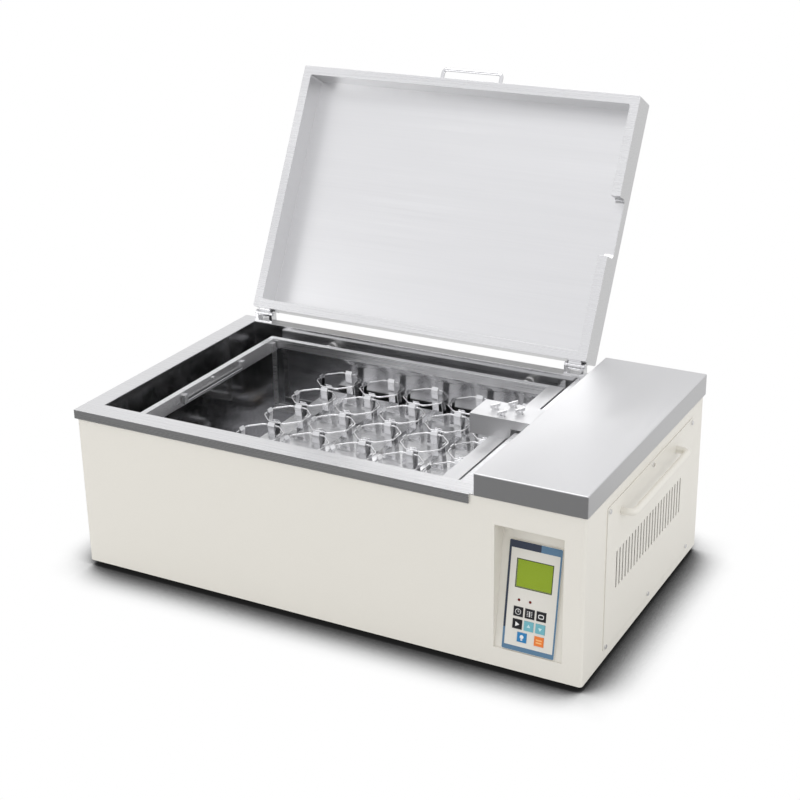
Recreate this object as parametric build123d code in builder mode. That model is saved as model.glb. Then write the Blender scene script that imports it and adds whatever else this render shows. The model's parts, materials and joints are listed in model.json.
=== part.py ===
# Shaking water bath: a stainless tank with a sliding clamp cradle, a hinged lid, and a motor
# compartment with a crank drive at its right end. Millimetres. The origin is the centre of the
# base plate's underside, with +X to the right, +Y to the back and +Z up.
import os
from math import atan, cos, degrees, radians, sin

from build123d import *

os.makedirs("parts", exist_ok=True)

# Casing and base
casing_width = 1000.0
casing_depth = 570.0
casing_sheet = 1.5
casing_corner = 6.0
rim_height = 308.0
cover_rise = 39.0
fit_clearance = 0.3
running_clearance = 0.05
base_sheet = 2.0
base_flange = 22.0
foot_diameter = 40.0
foot_height = 12.0
foot_inset = 45.0
foot_recess = 7.0
casing_front = -casing_depth / 2
casing_back = casing_depth / 2
casing_end = casing_width / 2
cover_height = rim_height + cover_rise

# Water tank, in the left four fifths of the casing
tank_sheet = 1.2
compartment_width = 193.6
tank_left_margin = 34.0
tank_right_margin = 44.4
tank_front_margin = 40.0
tank_back_margin = 22.0
cut_reach = 25.0
rim_overhang = 3.0
rim_lip = 17.0
rim_lip_gap = 9.4
compartment_left = casing_end - compartment_width
tank_left = -casing_end + tank_left_margin
tank_right = compartment_left - tank_right_margin
tank_front = casing_front + tank_front_margin
tank_back = casing_back - tank_back_margin
tank_floor = rim_height / 4 + 1
rim_lip_end = compartment_left - rim_lip_gap
insulation_thickness = 15.0
insulation_floor = 26.0

# Motor compartment cover
cover_sheet = 1.2
cover_overhang = 3.0
arm_slot_margin = 9.0
arm_slot_rise = 25.0

# Lid and its hinges
lid_overlap = 6.0
lid_right_overlap = 10.0
lid_height = 58.0
lid_sheet = 1.2
lid_return = 18.0
lid_inner_depth = 50.0
lid_seat_gap = 0.4
lid_open_angle = 118.0
lid_notch_margin = 28.0
lid_notch_height = 32.0
hinge_setback = 10.0
hinge_rise = 15.0
hinge_inboard = 8.0
hinge_pin_diameter = 6.0
hinge_barrel = 14.0
hinge_width = 40.0
hinge_inset = 24.0
leaf_sheet = 2.0
handle_rod = 8.0
handle_width = 130.0
handle_reach = 26.0
lid_left = tank_left - lid_overlap
lid_right = tank_right + lid_right_overlap
hinge_y = casing_back - hinge_inboard
lid_length = hinge_y - hinge_setback - tank_front + lid_overlap

# Shaker cradle, hung on four rollers
shaker_stroke = 25.0
cradle_left_gap = 54.0
cradle_right_gap = 21.0
cradle_side_gap = 20.0
cradle_drop = 18.0
cradle_sheet = 2.0
cradle_rail_height = 18.0
cradle_rail_width = 12.0
left_bar_web = 28.0
right_plate_width = 30.0
hanger_width = 12.0
hanger_drop = 14.0
ledge_depth = 15.0
ledge_sheet = 3.0
ledge_drop = 43.0
ledge_end_gap = 25.0
roller_radius = 10.0
roller_width = 8.0
roller_axle = 5.0
roller_left_inset = 127.0
roller_right_inset = 86.0
cradle_left = tank_left + cradle_left_gap
cradle_right = tank_right - cradle_right_gap
cradle_front = tank_front + cradle_side_gap
cradle_back = tank_back - cradle_side_gap
cradle_top = rim_height - cradle_drop
ledge_top = rim_height - ledge_drop
roller_left = cradle_left + roller_left_inset
roller_right = cradle_right - roller_right_inset

# Clamp tray and its spring clamps
tray_left_gap = 134.0
tray_right_gap = 27.0
tray_front_gap = 6.0
tray_back_gap = 18.0
tray_skirt = 51.0
tray_sag = 44.0
tray_lip = 15.0
tray_sheet = 1.5
clamp_pitch = 98.0
clamp_base_size = 62.0
clamp_base_thickness = 3.0
finger_width = 14.0
finger_sheet = 1.2
finger_height = 50.0
finger_foot_radius = 43.5
finger_tip_radius = 38.0
spring_height = 46.0
spring_wire = 3.4
tray_left = cradle_left + tray_left_gap
tray_right = cradle_right - tray_right_gap
tray_front = tank_front + tray_front_gap
tray_back = tank_back - tray_back_gap
tray_foot = (tank_floor + cradle_top) / 2 - tray_sag
tray_top = tray_foot + tray_skirt
hanger_foot = tray_foot - hanger_drop
clamp_columns = 1 + int((tray_right - tray_left - 2 * finger_foot_radius) / clamp_pitch)
clamp_rows = 1 + int((tray_back - tray_front - 2 * finger_foot_radius) / clamp_pitch)
clamp_centre_x = (tray_left + tray_right) / 2
clamp_centre_y = (tray_front + tray_back) / 2

# Crank drive in the motor compartment
crank_inset = 100.0
crank_y = 9.0
crank_throw = shaker_stroke / 2
crank_wheel_diameter = 110.0
motor_pulley_diameter = 35.0
belt_groove = 5.0
belt_width = 7.0
wheel_thickness = 14.0
wheel_drop = 14.0
crank_shaft_diameter = 16.0
crank_pin_diameter = 10.0
rod_thickness = 6.0
rod_reach = 55.0
motor_spacing = 119.0
motor_size = 86.0
motor_height = 110.0
motor_shaft_diameter = 10.0
bracket_drop = 42.0
bracket_sheet = 4.0
crank_x = casing_end - crank_inset
wrist_x = crank_x - rod_reach
motor_y = crank_y - motor_spacing
wheel_top = rim_height - wheel_drop
bracket_top = rim_height - bracket_drop

# Drive arm from the crank to the cradle
arm_width = 70.0
arm_overlap = 69.0
arm_step_gap = 11.0
arm_end_reach = 10.0
arm_rise = 20.0
arm_sheet = 2.0
arm_clearance = 3.0
arm_front = crank_y - arm_width / 2
arm_back = crank_y + arm_width / 2
arm_left = cradle_right - arm_overlap
arm_right = wrist_x + arm_end_reach
arm_step = cradle_right + arm_step_gap
arm_top = rim_height + arm_rise

# Control panel in a leaning pocket of the front wall
pocket_inset = 36.0
pocket_width = 122.0
pocket_bottom = 36.0
pocket_top = 262.0
pocket_depth_bottom = 3.0
pocket_depth_top = 40.0
keypad_margin = 14.0
keypad_bottom = 37.5
keypad_top = 226.0
keypad_thickness = 3.0
key_size = 17.0
key_travel = 0.6
key_clearance = 0.2
display_width = 62.0
display_height = 47.0
board_gap = 7.4
board_thickness = 1.6
pocket_right = casing_end - pocket_inset
pocket_left = pocket_right - pocket_width
keypad_left = pocket_left + keypad_margin
keypad_right = pocket_right - keypad_margin
display_row = 171.5
lamp_row = 126.0
key_rows = (106.0, 84.5, 63.0)

tank_width = tank_right - tank_left
tank_depth = tank_back - tank_front
tank_mid = ((tank_left + tank_right) / 2, (tank_front + tank_back) / 2)


def plane_at(height):
    """A level plane at a given height."""
    return Plane.XY.offset(height)


def span_x(x_position):
    """A plane across X, with local x along +Y and local y along +Z."""
    return Plane(origin=(x_position, 0, 0), x_dir=(0, 1, 0), z_dir=(1, 0, 0))


def span_y(y_position):
    """A plane across Y that faces the front, with local x along +X and local y along +Z."""
    return Plane(origin=(0, y_position, 0), x_dir=(1, 0, 0), z_dir=(0, -1, 0))


# Base plate: a shallow folded pan that closes the casing's underside, with floor vents
with BuildPart() as base_plate:
    with BuildSketch():
        RectangleRounded(
            casing_width - 2 * casing_sheet - 2 * fit_clearance,
            casing_depth - 2 * casing_sheet - 2 * fit_clearance,
            casing_corner - casing_sheet,
        )
    extrude(amount=base_flange)
    offset(
        amount=-base_sheet,
        openings=base_plate.faces().sort_by(Axis.Z)[-1],
        kind=Kind.INTERSECTION,
    )
    with BuildSketch():
        with Locations((crank_x, casing_back / 2)):
            with GridLocations(12, 0, 7, 1):
                Rectangle(5, 60)
    extrude(amount=base_sheet, mode=Mode.SUBTRACT)
base_plate.part.label = "base_plate"
export_step(base_plate.part, "parts/base_plate.step")

# Rubber feet: four tapered pads with a screw recess
foot_spots = (
    casing_width - 2 * foot_inset,
    casing_depth - 2 * foot_inset,
)
with BuildPart() as rubber_feet:
    with BuildSketch(plane_at(-foot_height)):
        with GridLocations(*foot_spots, 2, 2):
            Circle(foot_diameter / 2)
    extrude(amount=foot_height, taper=-4)
    with BuildSketch(plane_at(-foot_height)):
        with GridLocations(*foot_spots, 2, 2):
            Circle(foot_recess)
    extrude(amount=foot_height / 2, mode=Mode.SUBTRACT)
rubber_feet.part.label = "rubber_feet"
export_step(rubber_feet.part, "parts/rubber_feet.step")

# Outer casing: one wrapped sheet, taller round the motor compartment
panel_front = casing_front + 90
panel_back = casing_back - 60
panel_bottom = 20.0
panel_top = rim_height - 23
opening_margin = 10.0
side_opening = (
    panel_front + opening_margin,
    panel_back - opening_margin,
    panel_bottom + opening_margin,
    panel_top - opening_margin,
)
inlet_centre = (crank_x, 60.0)
switch_centre = (crank_x - 55, 60.0)
drain_x = tank_left + 86
drain_z = 46.0
drain_pipe = 22.0
with BuildPart() as outer_casing:
    with BuildSketch():
        RectangleRounded(casing_width, casing_depth, casing_corner)
        RectangleRounded(
            casing_width - 2 * casing_sheet,
            casing_depth - 2 * casing_sheet,
            casing_corner - casing_sheet,
            mode=Mode.SUBTRACT,
        )
    extrude(amount=cover_height - cover_sheet)
    with BuildSketch(plane_at(rim_height - tank_sheet)):
        with Locations((compartment_left + casing_sheet - casing_width, 0)):
            Rectangle(2 * casing_width, 2 * casing_depth)
    extrude(amount=cover_height, mode=Mode.SUBTRACT)
    with BuildSketch(span_y(casing_front + 2 * casing_sheet)):
        with Locations(((pocket_left + pocket_right) / 2, (pocket_bottom + pocket_top) / 2)):
            Rectangle(pocket_right - pocket_left, pocket_top - pocket_bottom)
    extrude(amount=4 * casing_sheet, mode=Mode.SUBTRACT)
    with BuildSketch(span_x(casing_end - 2 * casing_sheet)):
        with Locations(
            (
                (side_opening[0] + side_opening[1]) / 2,
                (side_opening[2] + side_opening[3]) / 2,
            )
        ):
            Rectangle(
                side_opening[1] - side_opening[0], side_opening[3] - side_opening[2]
            )
    extrude(amount=4 * casing_sheet, mode=Mode.SUBTRACT)
    with BuildSketch(span_y(casing_back + 2 * casing_sheet)):
        with Locations(inlet_centre):
            Rectangle(28, 21)
        with Locations(switch_centre):
            Rectangle(20, 28)
        with Locations((drain_x, drain_z)):
            Circle(drain_pipe / 2 + fit_clearance)
    extrude(amount=4 * casing_sheet, mode=Mode.SUBTRACT)
outer_casing.part.label = "outer_casing"
export_step(outer_casing.part, "parts/outer_casing.step")

# Water tank: a basin folded and welded from sheet, with the heater, probe and drain holes
heater_z = tank_floor + 14
heater_tube = 9.0
heater_margin = 70.0
heater_left = tank_left + heater_margin
heater_ends = (tank_front + heater_margin, tank_back - heater_margin)
probe_tube = 6.0
probe_spot = (crank_y - 120, tank_floor + 30)
drain_y = casing_back - 135
with BuildPart() as water_tank:
    with BuildSketch(plane_at(tank_floor - tank_sheet)):
        with Locations(tank_mid):
            Rectangle(tank_width + 2 * tank_sheet, tank_depth + 2 * tank_sheet)
    extrude(amount=rim_height - tank_floor)
    with BuildSketch(plane_at(tank_floor)):
        with Locations(tank_mid):
            Rectangle(tank_width, tank_depth)
    extrude(amount=rim_height, mode=Mode.SUBTRACT)
    with BuildSketch(span_x(tank_right - cut_reach)):
        with Locations(*[(end, heater_z) for end in heater_ends]):
            Circle(heater_tube / 2 + running_clearance)
        with Locations(probe_spot):
            Circle(probe_tube / 2 + running_clearance)
    extrude(amount=2 * cut_reach, mode=Mode.SUBTRACT)
    with BuildSketch(plane_at(tank_floor - 2 * tank_sheet)):
        with Locations((drain_x, drain_y)):
            Circle(drain_pipe / 2 + fit_clearance)
    extrude(amount=4 * tank_sheet, mode=Mode.SUBTRACT)
water_tank.part.label = "water_tank"
export_step(water_tank.part, "parts/water_tank.step")

# Tank rim: a flat frame welded round the basin's mouth that folds down outside the casing
rim_left = -casing_end - rim_overhang
rim_right = compartment_left - 0.2
rim_front = casing_front - rim_overhang
with BuildPart() as tank_rim:
    with BuildSketch(plane_at(rim_height - tank_sheet)):
        with Locations(((rim_left + rim_right) / 2, 0)):
            Rectangle(rim_right - rim_left, casing_depth)
        with Locations(((rim_left + rim_lip_end) / 2, 0)):
            Rectangle(rim_lip_end - rim_left, -2 * rim_front)
    extrude(amount=tank_sheet)
    with BuildSketch(plane_at(rim_height - rim_lip)):
        with Locations(((rim_left + rim_lip_end) / 2, 0)):
            Rectangle(rim_lip_end - rim_left, -2 * rim_front)
        with Locations(((rim_left + rim_lip_end) / 2 + tank_sheet, 0)):
            Rectangle(rim_lip_end - rim_left, -2 * (rim_front + tank_sheet), mode=Mode.SUBTRACT)
    extrude(amount=rim_lip)
    with BuildSketch(plane_at(rim_height - 2 * tank_sheet)):
        with Locations(tank_mid):
            Rectangle(tank_width, tank_depth)
    extrude(amount=3 * tank_sheet, mode=Mode.SUBTRACT)
tank_rim.part.label = "tank_rim"
export_step(tank_rim.part, "parts/tank_rim.step")

# Foam jacket round the tank's walls and floor
with BuildPart() as tank_insulation:
    with BuildSketch(plane_at(tank_floor - tank_sheet - insulation_floor)):
        with Locations(tank_mid):
            Rectangle(
                tank_width + 2 * (tank_sheet + insulation_thickness),
                tank_depth + 2 * (tank_sheet + insulation_thickness),
            )
    extrude(amount=rim_height - rim_lip - tank_floor + insulation_floor)
    with BuildSketch(plane_at(tank_floor - tank_sheet)):
        with Locations(tank_mid):
            Rectangle(
                tank_width + 2 * (tank_sheet + fit_clearance),
                tank_depth + 2 * (tank_sheet + fit_clearance),
            )
    extrude(amount=rim_height, mode=Mode.SUBTRACT)
    with BuildSketch(span_x(tank_right - cut_reach)):
        with Locations(*[(end, heater_z) for end in heater_ends], probe_spot):
            Circle(heater_tube + 4)
    extrude(amount=2 * cut_reach + insulation_thickness, mode=Mode.SUBTRACT)
    with BuildSketch(plane_at(drain_z - drain_pipe)):
        with Locations((drain_x, (drain_y + casing_depth) / 2)):
            Rectangle(drain_pipe + 12, casing_depth - drain_y + drain_pipe + 12)
    extrude(amount=tank_floor - drain_z + drain_pipe, mode=Mode.SUBTRACT)
tank_insulation.part.label = "tank_insulation"
export_step(tank_insulation.part, "parts/tank_insulation.step")

# Bulkhead between the tank space and the motor compartment, notched for the drive arm
arm_mid = (arm_front + arm_back) / 2
arm_slot = arm_back - arm_front + 2 * arm_slot_margin
slot_bottom = rim_height + 1
with BuildPart() as bulkhead:
    with BuildSketch(span_x(compartment_left)):
        with Locations((0, (base_sheet + rim_height) / 2)):
            Rectangle(
                casing_depth - 2 * casing_sheet - 8, rim_height - base_sheet - 2 * tank_sheet
            )
    extrude(amount=casing_sheet)
    with BuildSketch(plane_at(base_sheet)):
        with Locations((compartment_left + 9, 0)):
            Rectangle(18, casing_depth - 2 * casing_sheet - 8)
    extrude(amount=casing_sheet)
    with BuildSketch(span_x(compartment_left - 1)):
        with Locations(*[(end, heater_z) for end in heater_ends], probe_spot):
            Circle(heater_tube + 6)
    extrude(amount=casing_sheet + 2, mode=Mode.SUBTRACT)
bulkhead.part.label = "bulkhead"
export_step(bulkhead.part, "parts/bulkhead.step")

# Motor compartment cover: a folded stainless cap with a slot for the drive arm
cover_left = compartment_left - 1.4
cover_right = casing_end + cover_overhang
cover_front = casing_front - cover_overhang
with BuildPart() as motor_cover:
    with BuildSketch(plane_at(rim_height)):
        with Locations(((cover_left + cover_right) / 2, 0)):
            Rectangle(cover_right - cover_left, -2 * cover_front)
    extrude(amount=cover_height - rim_height)
    fillet(motor_cover.edges().filter_by(Axis.Z), 2.5)
    fillet(motor_cover.faces().sort_by(Axis.Z)[-1].edges(), 2.0)
    offset(
        amount=-cover_sheet,
        openings=motor_cover.faces().sort_by(Axis.Z)[0],
        kind=Kind.INTERSECTION,
    )
    with BuildSketch(span_x(cover_left - 1)):
        with Locations((arm_mid, slot_bottom + arm_slot_rise / 2 - 1)):
            Rectangle(arm_slot, arm_slot_rise + 2)
    extrude(amount=3 * cover_sheet, mode=Mode.SUBTRACT)
motor_cover.part.label = "motor_cover"
export_step(motor_cover.part, "parts/motor_cover.step")

# Ventilated access panel on the right end, held by six screws
panel_sheet = 1.5
vent_pitch = 14.3
vent_margin = 40.0
vent_count = int((panel_back - panel_front - 2 * vent_margin) / vent_pitch)
vent_centre = ((panel_front + panel_back) / 2 - 4, 152.5)
vent_height = 69.0
vent_width = 5.0
screw_spots = [
    (side, level)
    for side in (panel_front + 8, (panel_front + panel_back) / 2, panel_back - 8)
    for level in (panel_bottom + 6, panel_top - 8)
]
handle_front = panel_front + 62
handle_back = panel_back - 85
handle_z = rim_height - 53
handle_tube = 13.0
handle_stand = 22.0
with BuildPart() as side_panel:
    with BuildSketch(span_x(casing_end)):
        with Locations(((panel_front + panel_back) / 2, (panel_bottom + panel_top) / 2)):
            RectangleRounded(panel_back - panel_front, panel_top - panel_bottom, 3)
        with Locations(vent_centre):
            with GridLocations(vent_pitch, 0, vent_count, 1):
                Rectangle(vent_width, vent_height, mode=Mode.SUBTRACT)
        with Locations(*screw_spots):
            Circle(2.2, mode=Mode.SUBTRACT)
    extrude(amount=panel_sheet)
side_panel.part.label = "side_panel"
export_step(side_panel.part, "parts/side_panel.step")

# Six pan-head screws of the access panel
with BuildPart() as side_panel_screws:
    with BuildSketch(span_x(casing_end + panel_sheet)):
        with Locations(*screw_spots):
            Circle(4.2)
    extrude(amount=2.4)
    with BuildSketch(span_x(casing_end + 0.05)):
        with Locations(*screw_spots):
            Circle(2.0)
    extrude(amount=panel_sheet)
side_panel_screws.part.label = "side_panel_screws"
export_step(side_panel_screws.part, "parts/side_panel_screws.step")

# Two bent-tube carry handles, one on each end
with BuildPart() as carry_handles:
    for side, seat in ((1, casing_end + panel_sheet), (-1, casing_end)):
        with BuildLine(plane_at(handle_z)):
            FilletPolyline(
                (side * seat, handle_front),
                (side * (seat + handle_stand), handle_front),
                (side * (seat + handle_stand), handle_back),
                (side * seat, handle_back),
                radius=handle_tube,
            )
        with BuildSketch(
            Plane(origin=(side * seat, handle_front, handle_z), z_dir=(side, 0, 0))
        ):
            Circle(handle_tube / 2)
        sweep()
carry_handles.part.label = "carry_handles"
export_step(carry_handles.part, "parts/carry_handles.step")

# Control panel: every piece is placed in the pocket's leaning plane, local y up the slope
pocket_lean = degrees(
    atan((pocket_depth_top - pocket_depth_bottom) / (pocket_top - pocket_bottom))
)
lean_cos = cos(radians(pocket_lean))
lean_sin = sin(radians(pocket_lean))
panel_x = (keypad_left + keypad_right) / 2
pocket_face = casing_front + pocket_depth_bottom


def panel_plane(rise=0.0):
    """The pocket's leaning back plane, raised towards the user."""
    plane = Plane(
        origin=(panel_x, pocket_face, pocket_bottom),
        x_dir=(1, 0, 0),
        z_dir=(0, -lean_cos, lean_sin),
    )
    return plane.offset(rise)


def slope(height):
    """Distance up the leaning plane of a point at a height above the base."""
    return (height - pocket_bottom) / lean_cos


keypad_height = slope(keypad_top) - slope(keypad_bottom)
keypad_middle = (slope(keypad_top) + slope(keypad_bottom)) / 2
display_centre = (1.0, slope(display_row))
led_spots = ((-22.5, slope(lamp_row)), (-2.5, slope(lamp_row)))
key_grid = {
    "key_menu": (-22.0, slope(key_rows[0])),
    "key_timer": (-1.5, slope(key_rows[0])),
    "key_mode": (19.0, slope(key_rows[0])),
    "key_left": (-22.0, slope(key_rows[1])),
    "key_up": (-1.5, slope(key_rows[1])),
    "key_down": (19.0, slope(key_rows[1])),
    "key_light": (-12.0, slope(key_rows[2])),
    "key_run": (18.5, slope(key_rows[2])),
}
key_lip = 1.0
key_skirt = 1.2

# Pocket: a folded sheet box behind the front wall, open where the panel unit sits
pocket_sheet = 1.2
pocket_mid_x = (pocket_left + pocket_right) / 2
pocket_rear = casing_front + casing_sheet
with BuildPart() as panel_pocket:
    with BuildSketch(span_x(pocket_left - pocket_sheet)):
        with BuildLine():
            Polyline(
                (pocket_rear, pocket_bottom - pocket_sheet),
                (pocket_face + pocket_sheet, pocket_bottom - pocket_sheet),
                (pocket_face + pocket_depth_top - pocket_depth_bottom + pocket_sheet, pocket_top),
                (
                    pocket_face + pocket_depth_top - pocket_depth_bottom + pocket_sheet,
                    pocket_top + pocket_sheet,
                ),
                (pocket_rear, pocket_top + pocket_sheet),
                close=True,
            )
        make_face()
    extrude(amount=pocket_width + 2 * pocket_sheet)
    with BuildSketch(span_x(pocket_left)):
        with BuildLine():
            Polyline(
                (casing_front - 1, pocket_bottom),
                (pocket_face, pocket_bottom),
                (pocket_face + pocket_depth_top - pocket_depth_bottom, pocket_top),
                (casing_front - 1, pocket_top),
                close=True,
            )
        make_face()
    extrude(amount=pocket_width, mode=Mode.SUBTRACT)
    with BuildSketch(span_y(pocket_rear)):
        with Locations((pocket_mid_x, (pocket_bottom + pocket_top) / 2)):
            Rectangle(pocket_width + 16, pocket_top - pocket_bottom + 16)
            Rectangle(pocket_width, pocket_top - pocket_bottom, mode=Mode.SUBTRACT)
    extrude(amount=-pocket_sheet)
    with BuildSketch(panel_plane(-4 * pocket_sheet)):
        with Locations((0, keypad_middle)):
            Rectangle(keypad_right - keypad_left - 6, keypad_height - 6)
    extrude(amount=8 * pocket_sheet, mode=Mode.SUBTRACT)
panel_pocket.part.label = "panel_pocket"
export_step(panel_pocket.part, "parts/panel_pocket.step")

# Keypad plate with its display window, two lamp holes and eight key holes
with BuildPart() as keypad_plate:
    with BuildSketch(panel_plane()):
        with Locations((0, keypad_middle)):
            RectangleRounded(keypad_right - keypad_left, keypad_height, 3)
        with Locations(display_centre):
            Rectangle(
                display_width + 2 * key_clearance, display_height + 2 * key_clearance, mode=Mode.SUBTRACT
            )
        with Locations(*led_spots):
            Circle(2.6, mode=Mode.SUBTRACT)
        with Locations(*key_grid.values()):
            Rectangle(key_size + 2 * key_clearance, key_size + 2 * key_clearance, mode=Mode.SUBTRACT)
    extrude(amount=keypad_thickness)
keypad_plate.part.label = "keypad_plate"
export_step(keypad_plate.part, "parts/keypad_plate.step")

# Circuit board on four spacers, with a switch body behind each key
with BuildPart() as control_board:
    with BuildSketch(panel_plane(-board_gap - board_thickness)):
        with Locations((0, keypad_middle)):
            Rectangle(keypad_right - keypad_left - 10, keypad_height - 12)
    extrude(amount=board_thickness)
    with BuildSketch(panel_plane(-board_gap)):
        with Locations((0, keypad_middle)):
            with GridLocations(
                keypad_right - keypad_left - 17, keypad_height - 20, 2, 2
            ):
                Rectangle(6, 6)
    extrude(amount=board_gap)
    with BuildSketch(panel_plane(-board_gap)):
        with Locations(*key_grid.values()):
            Rectangle(7, 7)
    extrude(amount=board_gap - key_lip - key_skirt - key_travel - 0.1)
control_board.part.label = "control_board"
export_step(control_board.part, "parts/control_board.step")

# Display module: its frame stands on the board and its window fills the plate's opening
with BuildPart() as display_module:
    with BuildSketch(panel_plane(-board_gap)):
        with Locations(display_centre):
            Rectangle(display_width + 10, display_height + 8)
    extrude(amount=board_gap - fit_clearance)
    with BuildSketch(panel_plane(-fit_clearance)):
        with Locations(display_centre):
            Rectangle(display_width, display_height)
    extrude(amount=keypad_thickness - 0.6)
display_module.part.label = "display_module"
export_step(display_module.part, "parts/display_module.step")

# Two indicator lamps that stand on the board and show through the plate
with BuildPart() as indicator_leds:
    with BuildSketch(panel_plane(-board_gap)):
        with Locations(*led_spots):
            Circle(2.4)
    extrude(amount=board_gap + keypad_thickness + 0.4)
    chamfer(indicator_leds.faces().filter_by(GeomType.PLANE).group_by(Axis.Y)[0].edges(), 0.6)
indicator_leds.part.label = "indicator_leds"
export_step(indicator_leds.part, "parts/indicator_leds.step")

# Eight keys, each a cap with a hidden skirt that keeps it behind the plate
for key_name, key_spot in key_grid.items():
    with BuildPart() as key:
        with BuildSketch(panel_plane(-key_lip)):
            with Locations(key_spot):
                Rectangle(key_size, key_size)
        extrude(amount=key_lip + keypad_thickness + key_travel + 0.3)
        cap_face = key.faces().sort_by(Axis.Y)[0]
        chamfer(cap_face.edges(), 0.5)
        with BuildSketch(panel_plane(-key_lip - key_skirt)):
            with Locations(key_spot):
                Rectangle(key_size + 2, key_size + 2)
        extrude(amount=key_skirt)
    key.part.label = key_name
    export_step(key.part, f"parts/{key_name}.step")

# Power supply: a vented steel box on the compartment's floor
supply_size = (100.0, 120.0, 46.0)
supply_spot = (crank_x, casing_back - 90)
with BuildPart() as power_supply:
    with BuildSketch(plane_at(base_sheet)):
        with Locations(supply_spot):
            Rectangle(supply_size[0], supply_size[1])
    extrude(amount=supply_size[2])
    with BuildSketch(plane_at(base_sheet + supply_size[2] - 1)):
        with Locations(supply_spot):
            with GridLocations(12, 0, 6, 1):
                Rectangle(5, 80)
    extrude(amount=2, mode=Mode.SUBTRACT)
power_supply.part.label = "power_supply"
export_step(power_supply.part, "parts/power_supply.step")

# Appliance inlet: a flanged socket body with three contact blades
with BuildPart() as power_inlet:
    with BuildSketch(span_y(casing_back)):
        with Locations(inlet_centre):
            RectangleRounded(50, 26, 3)
    extrude(amount=-3)
    with BuildSketch(span_y(casing_back)):
        with Locations(inlet_centre):
            Rectangle(27, 20)
    extrude(amount=18)
    with BuildSketch(span_y(casing_back + 3)):
        with Locations(inlet_centre):
            Rectangle(23, 16)
    extrude(amount=17, mode=Mode.SUBTRACT)
    with BuildSketch(span_y(casing_back - 2)):
        with Locations(*[(inlet_centre[0] + step, inlet_centre[1]) for step in (-7, 0, 7)]):
            Rectangle(2, 5)
    extrude(amount=13)
power_inlet.part.label = "power_inlet"
export_step(power_inlet.part, "parts/power_inlet.step")

# Mains switch: its frame, and the rocker that tilts in it
rocker_pivot_y = casing_back + 1.0
with BuildPart() as switch_frame:
    with BuildSketch(span_y(casing_back)):
        with Locations(switch_centre):
            Rectangle(26, 34)
    extrude(amount=-2.5)
    with BuildSketch(span_y(casing_back)):
        with Locations(switch_centre):
            Rectangle(19, 27)
    extrude(amount=16)
    with BuildSketch(span_y(casing_back + 3)):
        with Locations(switch_centre):
            Rectangle(15, 24)
    extrude(amount=15, mode=Mode.SUBTRACT)
    with BuildSketch(span_x(switch_centre[0] - 8.5)):
        with Locations((rocker_pivot_y, switch_centre[1])):
            Circle(1.5 + running_clearance)
    extrude(amount=17, mode=Mode.SUBTRACT)
switch_frame.part.label = "switch_frame"
export_step(switch_frame.part, "parts/switch_frame.step")

rocker_tilt = 10.0
rocker_wide = 14.0
with BuildPart() as switch_rocker:
    with BuildSketch(
        Plane(
            origin=(switch_centre[0] - rocker_wide / 2, rocker_pivot_y, switch_centre[1]),
            x_dir=(0, cos(radians(rocker_tilt)), sin(radians(rocker_tilt))),
            z_dir=(1, 0, 0),
        )
    ):
        with BuildLine():
            Polyline((-6, -7), (2.5, -10.4), (4.5, -10.4), (1.8, 0), (4.5, 10.4), (2.5, 10.4), (-6, 7), close=True)
        make_face()
    extrude(amount=rocker_wide)
    with BuildSketch(span_x(switch_centre[0] - 8.4)):
        with Locations((rocker_pivot_y, switch_centre[1])):
            Circle(1.5)
    extrude(amount=16.8)
switch_rocker.part.label = "switch_rocker"
export_step(switch_rocker.part, "parts/switch_rocker.step")

# Drain: a pipe from the tank's floor, an elbow, and a ball valve with a hose tail at the back
valve_y = casing_back + 22.0
pipe_bore = 16.0
valve_block = 30.0
stem_diameter = 6.0
hose_tail = 18.0
with BuildPart() as drain_outlet:
    with BuildSketch(plane_at(drain_z)):
        with Locations((drain_x, drain_y)):
            Circle(drain_pipe / 2)
    extrude(amount=tank_floor - drain_z)
    with BuildSketch(plane_at(tank_floor)):
        with Locations((drain_x, drain_y)):
            Circle(drain_pipe / 2 + 5)
    extrude(amount=2)
    with BuildSketch(plane_at(tank_floor - tank_sheet - 4)):
        with Locations((drain_x, drain_y)):
            RegularPolygon(drain_pipe / 2 + 5, 6)
    extrude(amount=4)
    with BuildSketch(span_y(drain_y - drain_pipe / 2)):
        with Locations((drain_x, drain_z)):
            Circle(drain_pipe / 2)
    extrude(amount=drain_y - drain_pipe / 2 - valve_y)
    with BuildSketch(span_y(casing_back)):
        with Locations((drain_x, drain_z)):
            RegularPolygon(drain_pipe / 2 + 6, 6)
    extrude(amount=-4)
    with BuildSketch(span_y(valve_y - valve_block / 3)):
        with Locations((drain_x, drain_z)):
            RegularPolygon(valve_block / 2, 8)
    extrude(amount=-valve_block)
    with BuildSketch(plane_at(drain_z)):
        with Locations((drain_x, valve_y + valve_block / 6)):
            Circle(stem_diameter)
    extrude(amount=valve_block / 2 + 4)
    with BuildSketch(span_y(valve_y + valve_block * 2 / 3)):
        with Locations((drain_x, drain_z)):
            Circle(hose_tail / 2)
    extrude(amount=-26)
    with BuildSketch(span_y(drain_y + drain_pipe / 2)):
        with Locations((drain_x, drain_z)):
            Circle(hose_tail / 2 - 2.5)
    extrude(amount=-casing_depth, mode=Mode.SUBTRACT)
    with BuildSketch(plane_at(drain_z)):
        with Locations((drain_x, drain_y)):
            Circle(pipe_bore / 2)
    extrude(amount=casing_depth, mode=Mode.SUBTRACT)
    with BuildSketch(span_y(drain_y)):
        with Locations((drain_x, drain_z)):
            Circle(hose_tail / 2 - 2.5)
    extrude(amount=-drain_pipe, mode=Mode.SUBTRACT)
    with BuildSketch(plane_at(drain_z + valve_block / 2 - 4)):
        with Locations((drain_x, valve_y + valve_block / 6)):
            Circle(stem_diameter / 2 + running_clearance)
    extrude(amount=valve_block, mode=Mode.SUBTRACT)
drain_outlet.part.label = "drain_outlet"
export_step(drain_outlet.part, "parts/drain_outlet.step")

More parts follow.
